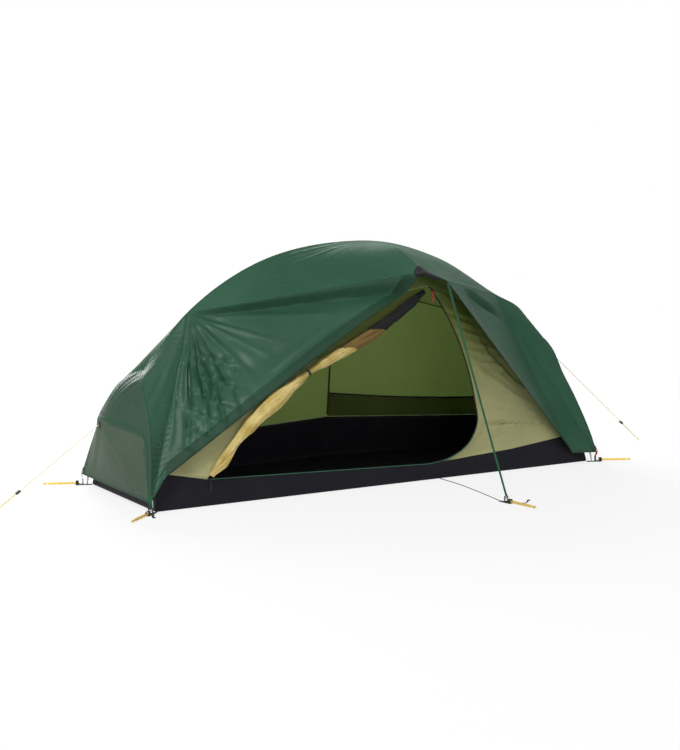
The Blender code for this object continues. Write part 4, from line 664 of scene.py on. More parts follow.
def end_middle(side, hub):
    """The end wall's middle line, drawn out to where the guy line pulls."""
    guy = GUY_POINT[side]
    knee_out, knee_up, belly_out = END_BULGE[side]
    knee = hub + (guy - hub) * 0.48 + at(side * knee_out, 0, knee_up)
    hem = at(side * (HALF + FLY_CORNER_OUT), 0, FLY_HEM)
    belly = (guy + hem) / 2 + at(side * belly_out, 0, 0)
    above = GUY_ROW[side]
    return join(spline([hub, knee, guy], above), spline([guy, belly, hem], ROOF - above))


def end_wall(front, back, middle):
    """The grid of an end wall: from leg to leg, bellied out to its middle line."""
    share = np.linspace(0, 1, 2 * ACROSS + 1)[None, :, None]
    shift_out = (middle - (front + back) / 2)[:, None]
    flat = front[:, None] * (1 - share) + back[:, None] * share
    return flat + shift_out * np.abs(np.sin(math.pi * share)) ** 0.8


def fly_grids(c):
    """The flysheet's panels as flat grids, named as the frame names them."""
    apex = {side: np.tile(p, (2 * ACROSS + 1, 1)) for side, p in ((-1, SEAM_L), (1, SEAM_R))}
    tip_l, tip_r = apex[-1][: ACROSS + 1], apex[1][: ACROSS + 1]
    low_right = join(c["door_top"], c["fold", 1])
    g = {
        "roof_front_left": coons(c["fold", -1], c["ridge", -1], tip_l, c["bar", -1]),
        "roof_front_right": coons(low_right, c["ridge", 1], c["bar", -1], tip_r),
        "roof_back_left": coons(c["fold_back", -1], c["ridge", -1], tip_l, c["bar", 1]),
        "roof_back_right": coons(c["fold_back", 1], c["ridge", 1], c["bar", 1], tip_r),
        "front_left": coons(c["seam", -1], c["fold", -1], apex[-1], c["edge", -1]),
        "front_right": coons(c["seam", 1], c["fold", 1][::-1], apex[1], c["edge", 1]),
    }
    for side, word in SIDES:
        up = c["ridge_end", side][::-side]
        corner = straight(fly_corner(side, -1), seam_foot(side), END)
        leg = c["leg", side, -1]
        g["shoulder_" + word] = coons(leg, c["seam", side], up, corner)
        g["end_" + word] = end_wall(leg, c["leg", side, 1], end_middle(side, leg[0]))
    middle = spline([HEM_BACK, (HEM_BACK + BAR_BACK) / 2 + BACK_BOW, BAR_BACK], ROOF)
    hem = straight(fly_corner(-1, 1), HEM_BACK, ROOF + END)
    top = join(c["ridge_end", -1], c["fold_back", -1])
    g["back_left"] = coons(hem, top, c["leg", -1, 1][::-1], middle)
    hem = straight(HEM_BACK, fly_corner(1, 1), ROOF + DOOR_TOP_STEPS + END)
    top = join(c["fold_back", 1], c["ridge_end", 1])
    g["back_right"] = coons(hem, top, middle, c["leg", 1, 1][::-1])
    return g


# Folds in the cloth

def rim_fade(grid, width):
    """0 on the sheet's four edges, 1 from a width inside them."""
    total = np.ones(grid.shape[:2])
    for axis in (0, 1):
        step = np.linalg.norm(np.diff(grid, axis=axis), axis=2)
        along = np.cumsum(step, axis=axis)
        along = np.concatenate([np.zeros_like(np.take(along, [0], axis=axis)), along], axis=axis)
        back = np.take(along, [-1], axis=axis) - along
        total = np.minimum(total, smooth_step(np.minimum(along, back) / width))
    return total


def fan(grid, centre, start_way, normal, pleats, reach, spread, seed, sharp=2.2):
    """Pleats that radiate from a point: ripples over the angle from one direction, strongest at
    a share of their reach."""
    way = unit(np.asarray(start_way, float))
    side = np.cross(unit(np.asarray(normal, float)), way)
    away = grid - centre
    x, y = away @ way, away @ side
    radius = np.hypot(x, y)
    angle = np.degrees(np.arctan2(y, x))
    warp = rough(grid, 3.0, seed, 2)
    phase = angle * math.pi / spread * pleats + warp * 3.0 + radius * 3
    wave = np.exp(sharp * (np.cos(phase) - 1)) - 0.3
    wave = 0.7 * wave + 0.3 * np.sin(phase * 1.83 + seed)
    rise = smooth_step(radius / (0.55 * reach)) * smooth_step((reach - radius) / (0.45 * reach))
    return wave * rise * smooth_step((spread - np.abs(angle)) / (0.45 * spread))


def crease(grid, start, end, width, rise, ends=(0.2, 0.35)):
    """A fold along a straight line: a ridge with a hollow beside it that runs out at both ends."""
    way = np.subtract(end, start)
    away = grid - start
    share = away @ way / (way @ way)
    side = unit(np.cross(way, grid_normals(grid).mean((0, 1))))
    off = away @ side
    ridge = np.exp(-((off / width) ** 2))
    hollow = 0.6 * np.exp(-(((off + 1.7 * width) / (1.2 * width)) ** 2))
    fade = smooth_step(share / ends[0]) * smooth_step((1 - share) / ends[1])
    return rise * (ridge - hollow) * fade


def shift(grid, amount):
    return grid + grid_normals(grid) * amount[..., None]


def off_line(grid, start, end):
    """Distance of each point from a straight line."""
    way = unit(end - start)
    away = grid - start
    return np.linalg.norm(away - (away @ way)[..., None] * way, axis=-1)


def share_along(grid, start, end):
    way = end - start
    return np.clip((grid - start) @ way / (way @ way), 0, 1)


def pucker(grid, start, end, pitch, rise, seed, lean=60):
    """Short slanting puckers beside a seam, as where thread has gathered the cloth."""
    near = off_line(grid, start, end)
    share = share_along(grid, start, end)
    length = np.linalg.norm(end - start)
    wave = np.sin(share * length * 2 * math.pi / pitch + near * lean + rough(grid, 6, seed, 2) * 3)
    middle = smooth_step(share * 6) * smooth_step((1 - share) * 6)
    return wave * rise * middle * np.exp(-(((near - 0.022) / 0.03) ** 2))


# Creases of the front left panel: the end, width and rise of those from the seam's top, and the
# start, end and rise of those across it
SEAM_CREASES = (
    ((-0.445, -0.321, 0.612), 0.011, 0.006), ((-0.530, -0.323, 0.560), 0.012, 0.006),
    ((-0.640, -0.310, 0.470), 0.014, 0.011), ((-0.760, -0.310, 0.380), 0.014, 0.012),
    ((-0.880, -0.325, 0.270), 0.014, 0.011), ((-0.980, -0.330, 0.200), 0.012, 0.009),
    ((-0.180, -0.350, 0.760), 0.018, 0.004),
)
CROSS_CREASES = (
    ((-0.94, -0.34, 0.22), (-0.80, -0.10, 0.62), 0.006),
    ((-0.60, -0.335, 0.50), (-0.20, -0.37, 0.79), 0.005),
    ((-0.83, -0.12, 0.57), (-0.62, -0.28, 0.50), 0.009),
    ((-0.86, -0.16, 0.50), (-0.66, -0.30, 0.42), 0.012),
    ((-0.89, -0.19, 0.44), (-0.72, -0.32, 0.35), 0.012),
    ((-0.92, -0.22, 0.38), (-0.76, -0.33, 0.29), 0.010),
    ((-0.95, -0.26, 0.31), (-0.82, -0.34, 0.23), 0.009),
    ((-0.98, -0.29, 0.24), (-0.90, -0.34, 0.18), 0.007),
)
# The dent in the front right panel: its ends, width and depth
DENT = ((0.40, -0.300, 0.83), (0.78, -0.10, 0.675), 0.014, 0.024, (0.3, 0.3))


def folds_of(name, side, grid):
    """Each fold of one panel of the flysheet, as how far it stands out at every point."""
    seam, hub = (SEAM_L, HUB_L) if side < 0 else (SEAM_R, FLY_HUB_R)
    if name == "front_left":
        down = seam_foot(-1) - SEAM_L + at(0.26, 0, 0)
        yield fan(grid, SEAM_L, down, (-0.2, -1, 0.25), 9, 0.70, 30, 2, 3.4) * 0.015
        for end, width, rise in SEAM_CREASES:
            yield crease(grid, SEAM_L, end, width, rise, (0.14, 0.30))
        for start, end, rise in CROSS_CREASES:
            yield crease(grid, start, end, 0.012, rise)
        yield pucker(grid, SEAM_L, seam_foot(-1), 0.026, 0.0016, 4)
    elif name == "front_right":
        yield -crease(grid, *DENT)
        down = SEAM_R - EDGE_R + at(0, 0, -0.35)
        yield fan(grid, EDGE_R, down, (0.2, -1, 0.3), 4, 0.9, 24, 9) * 0.003
        yield pucker(grid, SEAM_R, seam_foot(1), 0.024, 0.0006, 5)
    elif name == "roof_front_left":
        along = SEAM_L - EDGE_L + at(0, 0, 0.11)
        yield fan(grid, EDGE_L, along, (0, -1, 1), 8, 0.95, 16, 7) * 0.0022
        yield fan(grid, CROWN, (-1, -0.28, -0.06), (0, -0.5, 1), 4, 0.6, 16, 1) * 0.0025
    elif name == "roof_front_right":
        along = SEAM_R - EDGE_R + at(0, 0.1, 0.1)
        yield fan(grid, EDGE_R, along, (0, -1, 1), 5, 0.7, 20, 3) * 0.0025
    elif name.startswith("shoulder"):
        yield fan(grid, seam, (side * 0.35, 0, -1), (side, -0.6, 0.3), 7, 0.80, 30, 6) * 0.004
        rise = 0.0018 if side < 0 else 0.0006
        yield pucker(grid, seam, seam_foot(side), 0.024, rise, 6, -60)
    elif name.startswith("end"):
        pull, corner = GUY_POINT[side], fly_corner(side, -1)
        yield fan(grid, pull, (0, -0.25, 1), (side, 0, 0.2), 6, 0.32, 62, 8) * 0.004
        streaks = fan(grid, hub, corner - hub + at(0, 0.10, 0), (side, -0.2, 0.2), 4, 0.62, 20, 3)
        yield streaks * 0.003 * smooth_step(np.linalg.norm(grid - hub, axis=2) / 0.2)
        for y in (-0.28, 0.28):
            yield crease(grid, pull, (side * 1.12, y, 0.07), 0.02, 0.006)
    elif name.startswith("back"):
        yield fan(grid, HEM_BACK, (side * 0.7, 0, 1), (0, 1, 0.3), 6, 0.6, 50, 12) * 0.005
        yield fan(grid, seam, (-side * 0.6, 0.4, -1), (0, 1, 0.3), 6, 0.7, 34, 13) * 0.005


def under_fold(grid):
    """The front left panel's hollow under the edge of the roof, and its belly lower down."""
    share = share_along(grid, SEAM_L, EDGE_L)
    below = off_line(grid, SEAM_L, EDGE_L)
    near, far = 0.016 + 0.026 * share, 0.10 + 0.04 * share
    hollow = smooth_step(below / near) * np.exp(-np.maximum(below - near, 0) / far)
    hollow *= (0.022 + 0.056 * share) * smooth_step(share * 8) * smooth_step((1 - share) * 9)
    belly = rim_fade(grid, 0.16) * 0.034 * np.exp(-(((below - 0.28) / 0.14) ** 2))
    return belly - hollow


def wrinkle_fly(g):
    """Sags the panels a little between their seams and pleats them where the cloth is slack."""
    made = {}
    for name, grid in g.items():
        side = -1 if name.endswith("left") else 1
        tight = rim_fade(grid, 0.03)
        amount = rim_fade(grid, 0.16) * (rough(grid, 2.6, len(name)) * 0.005 - 0.004)
        fine = 0.0012 if name.startswith("front") else 0.0004
        amount += tight * rough(grid * at(1.0, 1.0, 1.8), 9.0, 3) * fine
        for fold in folds_of(name, side, grid):
            amount += tight * fold
        if name == "front_left":
            amount += under_fold(grid)
        made[name] = shift(grid, amount)
    return made


# The seam above an end wall's lower cloth: across and up, from the middle to the corner
END_SEAM = {
    -1: ((0.0, 0.335), (0.237, 0.285), (0.350, 0.046)),
    1: ((0.0, 0.525), (0.237, 0.330), (0.350, 0.046)),
}
# Where the doubled cloth beside the door's edge starts, as a share of the panel; that band is
# darkened with painted shade
BAND_FROM = {"front_left": 0.915, "front_right": 0.94}
FLY_FINISHES = ["fly", "band", "fly_end", "fly_low", "fly_back", "fly_front"]


def finish_of(name, grid):
    """The number of the finish of each face of a panel."""
    kind = np.zeros((grid.shape[0] - 1, grid.shape[1] - 1), int)
    # The door's doubled edge band, darker with painted shade
    if name in BAND_FROM:
        kind[int(kind.shape[0] * BAND_FROM[name]) :, FINE:] = FLY_FINISHES.index("band")
    if name.startswith("end"):
        middle = (grid[:-1, :-1] + grid[1:, 1:]) / 2
        y, z = zip(*END_SEAM[-1 if name == "end_left" else 1])
        kind[:] = np.where(middle[..., 2] < np.interp(np.abs(middle[..., 1]), y, z), 3, 2)
    if "back" in name:
        kind[:] = FLY_FINISHES.index("fly_back")
    if name in ("front_left", "shoulder_left"):
        kind[kind == 0] = FLY_FINISHES.index("fly_front")
    return kind


SEAM_WIDTH, NARROW_SEAM, SEAM_RISE = 0.0095, 0.007, 0.0006
HEM_WIDTH, HEM_RISE, HEM_UP = 0.011, 0.0007, 0.006
EDGE_WIDTH, EDGE_RISE, EDGE_IN = 0.0045, 0.0008, 0.0035


def make_fly():
    """The flysheet as one sheet over all its panels."""
    c = fly_curves()
    g = wrinkle_fly(fly_grids(c))
    panels = [(grid, finish_of(name, grid), flat_map(grid)) for name, grid in g.items()]
    fly = surface("fly_canopy", panels, FLY_FINISHES, FLY_CLOTH)
    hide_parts(*["fly_" + name for name in g])
    ridge = join(c["ridge_end", -1], c["ridge", -1], c["ridge", 1], c["ridge_end", 1])
    wide = length_of(ridge) + sum(length_of(c["leg", side, -1]) for side in (-1, 1))
    tall = sum(length_of(g[name][-1]) for name in ("front_left", "back_left"))
    tall += 2 * length_of(c["bar", 1])
    area = sum(area_of(grid) for grid in g.values())
    skin = skin_of(fly)
    sew_seams(c, g, skin, ridge)
    sew_hems(c, g, skin)
    return c, g


def sew_seams(c, g, skin, ridge):
    """The tapes over the seams between the flysheet's panels."""
    seams = {
        "ridge": ridge,
        "bar": join(c["bar", -1], c["bar", 1][::-1]),
        "back": g["back_left"][-1],
        "band_left": g["front_left"][int(ROOF * BAND_FROM["front_left"])],
    }
    for side, word in SIDES:
        seams["fold_" + word] = c["fold", side]
        seams["fold_back_" + word] = c["fold_back", side]
        seams["front_" + word] = c["seam", side]
        seams["leg_front_" + word] = c["leg", side, -1]
        seams["leg_back_" + word] = c["leg", side, 1]
        corners = [(-y, z) for y, z in END_SEAM[side][:0:-1]] + list(END_SEAM[side])
        low = []
        for y, z in spline([(0, y * 0.98, z + 0.006) for y, z in corners], 90)[:, 1:]:
            hit = skin.ray_cast(Vector((side * 3, y, z)), Vector((-side, 0, 0)))[0]
            if hit:
                low.append(np.array(hit))
        seams["end_" + word] = np.array(low)
    for word, path in seams.items():
        width = NARROW_SEAM if word.startswith(("band", "fold")) else SEAM_WIDTH
        steps = max(12, int(length_of(path) / TAPE_STEP))
        tape("seam_" + word, even(path, steps), skin, width, SEAM_RISE, "seam")


def sew_hems(c, g, skin):
    """The tapes along the flysheet's hems and the door's free edges."""
    hems = {}
    for side, word in SIDES:
        hems["end_" + word] = g["end_" + word][-1]
        hems["back_" + word] = g["back_" + word][:, 0]
        hems["front_" + word] = straight(fly_corner(side, -1), free_end(side), 2 * FINE)
    for word, path in hems.items():
        inset = even(path, max(8, int(length_of(path) / TAPE_STEP)))[1:-1] + UP * HEM_UP
        tape("hem_" + word, inset, skin, HEM_WIDTH, HEM_RISE, "hem")
    for (side, word), apex in zip(SIDES, (SEAM_L, SEAM_R)):
        edge = even(c["edge", side][FINE:], 110)
        inset = (edge + unit(apex - edge) * EDGE_IN)[1:-1]
        tape("door_tape_" + word, inset, skin, EDGE_WIDTH, EDGE_RISE, "edge_tape")


# The hood: its two ends and its peak in steps along the roof, then its lift off the roof, how far
# it hangs out and down past the door, and its binding
HOOD_FROM, HOOD_TO, HOOD_PEAK, HOOD_SPREAD = -0.40, 1.42, -0.02, 0.55
HOOD_LIFT, HOOD_OUT, HOOD_CLOTH, HOOD_BINDING = 0.0022, 0.022, 0.0009, 0.006


def make_hood(g):
    """The black patch over the bar's end: a leaf on both roof panels that hangs past the door."""
    left, right = g["roof_front_left"], g["roof_front_right"]
    on_left, on_right = (left, grid_normals(left)), (right, grid_normals(right))
    columns = []
    for s in np.linspace(HOOD_FROM, HOOD_TO, 41):
        swell = math.sin(math.pi * min(max((s - HOOD_FROM) / (HOOD_TO - HOOD_FROM), 0), 1)) ** 0.7
        reach = 0.12 + 0.88 * swell * math.exp(-(((s - HOOD_PEAK) / HOOD_SPREAD) ** 2))
        panel, column = (on_left, 10 + s) if s < 0 else (on_right, s)
        up = []
        for t in np.linspace(reach, 0, 13):
            spot, face = (sample(k, column * FINE, t * FINE) for k in panel)
            up.append(spot + unit(face) * HOOD_LIFT)
        lip = up[-1]
        hang = 0.45 + 0.55 * swell
        for t in np.linspace(0.1, 1, 10):
            out = math.sin(t * math.pi * 0.62) * HOOD_OUT
            fall = 0.004 * t + 0.019 * t**2.2
            ripple = 0.0012 * math.sin(s * 9) * t
            up.append(lip + at(0, -out * hang - ripple, -fall * hang))
        columns.append(up)
    grid = np.array(columns)
    panels = [(grid, 0, length_map(grid))]
    hood = surface("door_hood", panels, ["hood"], HOOD_CLOTH, away=(0.1, 0, 0.5))
    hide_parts("fly_hood")
    wide, tall = length_of(grid[:, 12]), length_of(grid[20])
    rim = even(grid[:, -2], 40)
    tape("hood_binding", rim, skin_of(hood), HOOD_BINDING, 0.0008, "black_tape", 0.0005)


# Inner tent

# The tub's corners from the front left: x, y and the wall's height there. Then the steps of each
# side, and how far the walls' top leans in at the ends
TUB_PLAN = (
    (-HALF, -SIDE, 0.155), (-HALF + 0.227, -SIDE, 0.110), (0.20, -SIDE, 0.072),
    (HALF - 0.45, -SIDE, 0.098), (HALF, -SIDE, 0.145), (HALF, SIDE, 0.145),
    (KINK_X, SIDE + KINK_DEPTH, 0.195), (-HALF, SIDE, 0.155),
)
TUB_STEPS = (3, 8, 5, 4, 5, 10, 10, 5)
CORNER_IN = 0.026

# The door: the chord and radius of the zip's arc, its run round the corner below (along, and down
# as a share), and how its sewn edge bows (along it, and how much)
DOOR_TOP, BACK_TOP = at(0.197, WALL_Y, 0.850), at(BAR_X, SIDE * 0.97, 0.850)
ZIP_CHORD, ZIP_RADIUS, ZIP_STEPS = at(0.266, 0, -0.605), 1.152, 8
ZIP_CORNER = ((0.228, 0.893), (0.128, 0.973), (0.045, 0.996))
HINGE_BOW, HINGE_STATIONS = at(-0.042, 0, 0.055), ((0.28, 0.3), (0.52, 1), (0.76, 1.05))
INNER_DROP = at(0, 0, -0.050)


def tub_rim():
    """Points of the tub's edge, at its foot and at its top, with the stretches between corners."""
    foot, top, starts = [], [], []
    for k, steps in enumerate(TUB_STEPS):
        a, b = at(*TUB_PLAN[k]), at(*TUB_PLAN[(k + 1) % len(TUB_PLAN)])
        starts.append(len(foot))
        for x, y, z in straight(a, b, steps)[:-1]:
            foot.append((x, y, 0))
            near = 1.0 if y > 0 else max(0.0, 1 - (HALF - abs(x)) / 0.2)
            lean_x = x * (1 - CORNER_IN / HALF) if abs(x) > HALF - 1e-6 else x
            top.append((lean_x, y * (1 - near * CORNER_IN / SIDE), z))
    return np.array(foot), np.array(top), starts


def arc_of_zip(start):
    """The door's zipped edge down its right side, as far as the slider travels."""
    end = start + ZIP_CHORD
    span = end - start
    left = unit(at(span[2], 0, -span[0]))
    rise = math.sqrt(ZIP_RADIUS**2 - (np.linalg.norm(span) / 2) ** 2)
    centre = (start + end) / 2 + left * rise
    x, y, z = start - centre
    turn = math.acos(np.dot(unit(start - centre), unit(end - centre)))
    points = []
    for angle in np.linspace(0, turn, ZIP_STEPS + 1):
        c, s = math.cos(angle), math.sin(angle)
        points.append(centre + at(x * c + z * s, y, -x * s + z * c))
    return points


def inner_curves():
    """The inner tent's seams: ridge, eaves, door outline and the rim it is sewn to."""
    _, top, starts = tub_rim()
    rim = top + UP * (GAP + INNER_THICKNESS * 0.2)
    rim[:, 1] += np.where(rim[:, 1] < 0, INNER_THICKNESS / 2, 0)
    n = len(rim)

    def stretch(first, last):
        a, b = starts[first], starts[last % len(starts)]
        return even([rim[k % n] for k in range(a, (b if b > a else b + n) + 1)], ROOF)

    drop = INNER_DROP
    end_l = HUB_L + (SEAM_L - HUB_L) * 0.42 + drop * 0.75
    end_r = HUB_R + (SEAM_R - HUB_R) * 0.42 + drop * 0.75
    crown = CROWN + drop
    left = spline([end_l, SEAM_L + drop, SHOULDER_L + drop * 1.05, TOP + drop, crown], ROOF)
    right = spline([crown, SHOULDER_R + drop * 1.05, SEAM_R + drop, end_r], ROOF)
    front_left, front_right = stretch(0, 1), stretch(2, 4)
    back_right, back_left = stretch(5, 6), stretch(6, 7)
    legs = {}
    for side, front, back, apex in (
        (-1, front_left[0], back_left[-1], end_l),
        (1, front_right[-1], back_right[0], end_r),
    ):
        for word, corner, bow in (("front", front, -0.004), ("back", back, 0.012)):
            middle = (corner + apex) / 2 + at(side * 0.006, bow, 0.004)
            legs[side, word] = spline([corner, middle, apex], WALL)
    foot = front_left[-1]
    bowed = [DOOR_TOP + (foot - DOOR_TOP) * a + HINGE_BOW * b for a, b in HINGE_STATIONS]
    fall = front_right[0][2] - DOOR_TOP[2]
    corner = [DOOR_TOP + at(right_by, 0, fall * down) for right_by, down in ZIP_CORNER]
    return {
        "ridge": join(left, right),
        "eave_front": join(straight(end_l, DOOR_TOP, ROOF), straight(DOOR_TOP, end_r, ROOF)),
        "eave_back": join(straight(end_l, BACK_TOP, ROOF), straight(BACK_TOP, end_r, ROOF)),
        "front_left": front_left,
        "front_right": front_right,
        "end_right": stretch(4, 5),
        "back": join(back_right, back_left),
        "end_left": stretch(7, 8),
        "hinge": spline([DOOR_TOP, *bowed, foot], WALL),
        "zip": spline([*arc_of_zip(DOOR_TOP), *corner, front_right[0]], WALL * 3),
        "legs": legs,
    }


def inner_grids(c):
    """The inner tent's panels as flat grids, named as the frame names them."""
    legs, low, rim_l, rim_r = c["legs"], ROOF + 1, c["front_left"], c["front_right"]
    share = np.linspace(0, 1, 3 * FINE + 1)[None, :, None]
    ridge = c["ridge"][:, None]
    fronts = c["eave_front"][:, None] * (1 - share) + ridge * share
    backs = ridge * (1 - share) + c["eave_back"][:, None] * share
    front, back = c["eave_front"], c["eave_back"][::-1]
    tip_l, tip_r = np.tile(back[-1], (low, 1)), np.tile(back[0], (low, 1))
    return {
        "inner_roof": np.concatenate([fronts[:, :-1], backs], axis=1),
        "inner_front_left": coons(rim_l, front[:low], legs[-1, "front"], c["hinge"][::-1]),
        "inner_front_right": coons(rim_r, front[ROOF:], c["zip"][::-3], legs[1, "front"]),
        "inner_back": coons(c["back"], back, legs[1, "back"], legs[-1, "back"]),
        "inner_end_left": coons(c["end_left"], tip_l, legs[-1, "back"], legs[-1, "front"]),
        "inner_end_right": coons(c["end_right"], tip_r, legs[1, "front"], legs[1, "back"]),
    }


# The short level creases beside the door: how many, how far apart, and their width and rise
LEVEL_CREASES, LEVEL_STEP, LEVEL_WIDTH, LEVEL_RISE = 6, 0.046, 0.010, 0.007


def wrinkle_inner(flat):
    """Sags the inner tent's panels a little and wrinkles those that the door opens to view."""
    made = {}
    for name, grid in flat.items():
        amount = rim_fade(grid, 0.14) * (rough(grid, 2.4, 5) * 0.004 - 0.004)
        if name.startswith("inner_front"):
            side = 1 if name.endswith("right") else -1
            fine = np.abs(rough(grid * at(0.7, 1, 2.2), 9, 11, 3))
            foot = at(side * (HALF - 0.05), WALL_Y, 0.17)
            folds = fan(grid, foot, (-side, 0, 0.42), (0, -1, 0), 6, 0.85, 26, 17, 3.0)
            amount = -rim_fade(grid, 0.05) * (fine * 0.006 + folds * 0.012)
            for drop in np.arange(LEVEL_CREASES) * LEVEL_STEP:
                start = (side * (0.20 + 0.5 * drop), WALL_Y, 0.745 - drop)
                end = (side * (0.56 + 0.9 * drop), WALL_Y, 0.705 - drop * 1.05)
                level = crease(grid, start, end, LEVEL_WIDTH, LEVEL_RISE, (0.3, 0.25))
                amount -= rim_fade(grid, 0.04) * level
        if name == "inner_back":
            low = rough(grid * at(1.6, 1, 0.6), 6, 15, 3)
            amount += rim_fade(grid, 0.06) * low * 0.0035
            amount *= smooth_step(np.abs(np.arange(grid.shape[0]) - ROOF)[:, None] / FINE)
        made[name] = shift(grid, amount)
    return made


# What the two fronts and the rim add to the flat walls' size, beside the back and its legs
FRONTS_LENGTH, RIM_ALLOWANCE = 1.95, 0.25


def make_inner():
    """The inner tent's walls and netting roof, and the black tapes inside their seams."""
    c = inner_curves()
    flat = inner_grids(c)
    g = wrinkle_inner(flat)
    net = g.pop("inner_roof")
    # The back wall takes the second finish: the inner cloth with painted green shade.
    walls = [(grid, 1 if name == "inner_back" else 0, flat_map(grid)) for name, grid in g.items()]
    body = surface("inner_walls", walls, ["inner", "inner_back"], INNER_CLOTH)
    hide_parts(*g)
    total = sum(area_of(grid) for grid in g.values())
    wide = sum(length_of(c[word]) for word in ("back", "end_left", "end_right")) + FRONTS_LENGTH
    tall = length_of(c["legs"][1, "back"]) + RIM_ALLOWANCE
    roof = surface("inner_netting", [(net, 0, flat_map(net))], ["net"], INNER_CLOTH)
    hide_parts("inner_roof")
    wide, tall = length_of(c["ridge"]), max(length_of(column) for column in net)
    min(area_of(net), wide * tall)
    kink = g["inner_back"][ROOF]
    seams = {
        "back_tape": (kink if kink[0][2] < kink[-1][2] else kink[::-1], 60, 0.0095, 0.0006),
        "eave_front": (c["eave_front"],),
        "eave_back": (c["eave_back"],),
    }
    for word in ("back", "front"):
        for side, side_word in SIDES:
            seams[f"leg_{word}_{side_word}"] = (c["legs"][side, word],)
    skin = skin_of(body)
    for word, (path, *sizes) in seams.items():
        steps, width, rise = sizes or (int(length_of(path) / 0.014), 0.007, 0.0005)
        inset = even(path, steps)[1:-1]
        tape("inner_" + word, inset, skin, width, rise, "black_tape", INNER_CLOTH / 2, True)
    make_pocket(flat["inner_back"])
    return c


# The pocket: its height and how much of that its edge sags, and how far it stands off the wall
POCKET_FOOT, POCKET_HEIGHT, POCKET_SAG = 0.004, 0.110, 0.012
POCKET_OFF, POCKET_BELLY, POCKET_FOLDS = 0.0042, 0.0045, 0.0045


def make_pocket(back):
    """The flat pocket inside the back wall, from the groundsheet's rim up."""
    columns = []
    for column in back[FINE : ROOF + 1 : 2]:
        rising = column if column[0][2] < column[-1][2] else column[::-1]
        height = POCKET_HEIGHT - POCKET_SAG * math.sin(math.pi * len(columns) / 36)
        want = POCKET_FOOT + height * np.linspace(0, 1, 17)
        along = distances(rising)
        columns.append(np.stack([np.interp(want, along, rising[:, k]) for k in range(3)], axis=1))
    flat = np.array(columns)
    inward = -grid_normals(flat)
    u = np.linspace(0, 1, flat.shape[0])[:, None]
    v = np.linspace(0, 1, flat.shape[1])[None]
    belly = np.sin(math.pi * u) ** 0.5 * np.sin(math.pi * v * 0.72) * POCKET_BELLY
    folds = np.abs(np.sin(u * 9 + v * 2.4 + rough(flat, 7, 21, 2) * 1.4)) * POCKET_FOLDS
    grid = flat + inward * (POCKET_OFF + belly + folds * np.sin(math.pi * u) * v)[..., None]
    made = surface("pocket_sheet", [(grid, 0, flat_map(grid))], ["pocket"], 0.0007)
    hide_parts("storage_pocket")
    wide, tall = length_of(grid[:, 8]), length_of(grid[len(grid) // 2])
    ribbon("pocket_tape", even(grid[:, -1], 90), inward[0, -1], 0.010, 0.0012, "black_web")


# The roll's radius at shares of its length, and where along it its three cloths end
ROLL_STATIONS = np.array([
    (0.03, 0.010), (0.10, 0.020), (0.30, 0.024), (0.46, 0.020), (0.53, 0.010), (0.58, 0.020),
    (0.68, 0.033), (0.78, 0.027), (0.86, 0.017), (0.93, 0.022), (0.985, 0.010),
])
ROLL_FINISHES, ROLL_ENDS = ["black_net", "tan", "roll"], (0.26, 0.38)
ROLL_STEPS, TIE_SHARE, TIE_THICKNESS, ROLL_LOBE = 240, 0.53, 0.0014, 1.09


def roll_radius(share):
    places, sizes = ROLL_STATIONS.T
    k = min(max(int(np.searchsorted(places, share)) - 1, 0), len(places) - 2)
    t = smooth_step((share - places[k]) / (places[k + 1] - places[k]))
    return sizes[k] + (sizes[k + 1] - sizes[k]) * t


def roll_lobe(share, angles):
    """The roll's section: the winding's grooves, pleats and the gather at its tie, as shares of
    its radius."""
    wave = 0.09 * np.cos(3 * angles + 9 * share)
    wind = np.cos(angles * 2 - share * 21 + 0.8 * math.sin(share * 17))
    groove = 0.24 * np.exp(9 * (wind - 1))
    pleat = 0.055 * np.cos(9 * angles + 26 * share + 2 * math.sin(share * 31))
    pleat += 0.05 * np.exp(4 * (np.cos(5 * angles - 34 * share) - 1))
    gather = 0.07 * np.cos(13 * angles) * math.exp(-(((share - TIE_SHARE) / 0.045) ** 2))
    spots = [Vector((share * 26, math.cos(a) * 1.3, math.sin(a) * 1.3)) for a in angles]
    soft = np.array([0.05 * noise.noise(spot) for spot in spots])
    return np.clip(1 + wave - groove + pleat + gather + soft, 0.66, 1.12)


def make_roll(hinge):
    """The rolled inner door: cloth wound round itself, gathered by its tie, loose at its foot."""
    fine = even(hinge, ROLL_STEPS)
    rings, kinds, tie = [], [], None
    angles = np.linspace(0, 2 * math.pi, 72, endpoint=False)
    out = at(0, -1, 0)
    for share in np.linspace(0.03, 0.985, 261):
        radius = roll_radius(share)
        here = share * ROLL_STEPS
        k = int(here)
        spot = fine[k] + (fine[min(k + 1, ROLL_STEPS)] - fine[k]) * (here - k)
        along = unit(fine[min(k + 3, ROLL_STEPS)] - fine[max(k - 3, 0)])
        side = unit(np.cross(along, out))
        centre = spot + out * (INNER_THICKNESS / 2 + TIE_THICKNESS + 2 * GAP + radius * ROLL_LOBE)
        if share <= TIE_SHARE:
            tie = centre, side, radius
        lobe = radius * roll_lobe(share, angles)
        across = side * (lobe * np.sin(angles))[:, None]
        rings.append(centre + out * (lobe * np.cos(angles))[:, None] + across)
        kinds.append(np.searchsorted(ROLL_ENDS, share + 0.03 * np.cos(angles + 1.0), "right"))
    kinds = np.array([kinds[0], *kinds])
    roll = tube("rolled_inner_door", np.array(rings), ROLL_FINISHES, kinds)
    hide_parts("inner_door_roll")
    centre, side, radius = tie
    turn = np.linspace(0, 2 * math.pi, 40)[:, None]
    outward = out * np.cos(turn) + side * np.sin(turn)
    ribbon("roll_tie", centre + outward * (radius * 1.10), outward, 0.010, 0.0012, "green_web")
    knot = centre + out * radius * 1.15 + out * 0.004
    toggle("roll_toggle", knot - side * 0.011, knot + side * 0.011, 0.0024, 0.0008, steps=12)


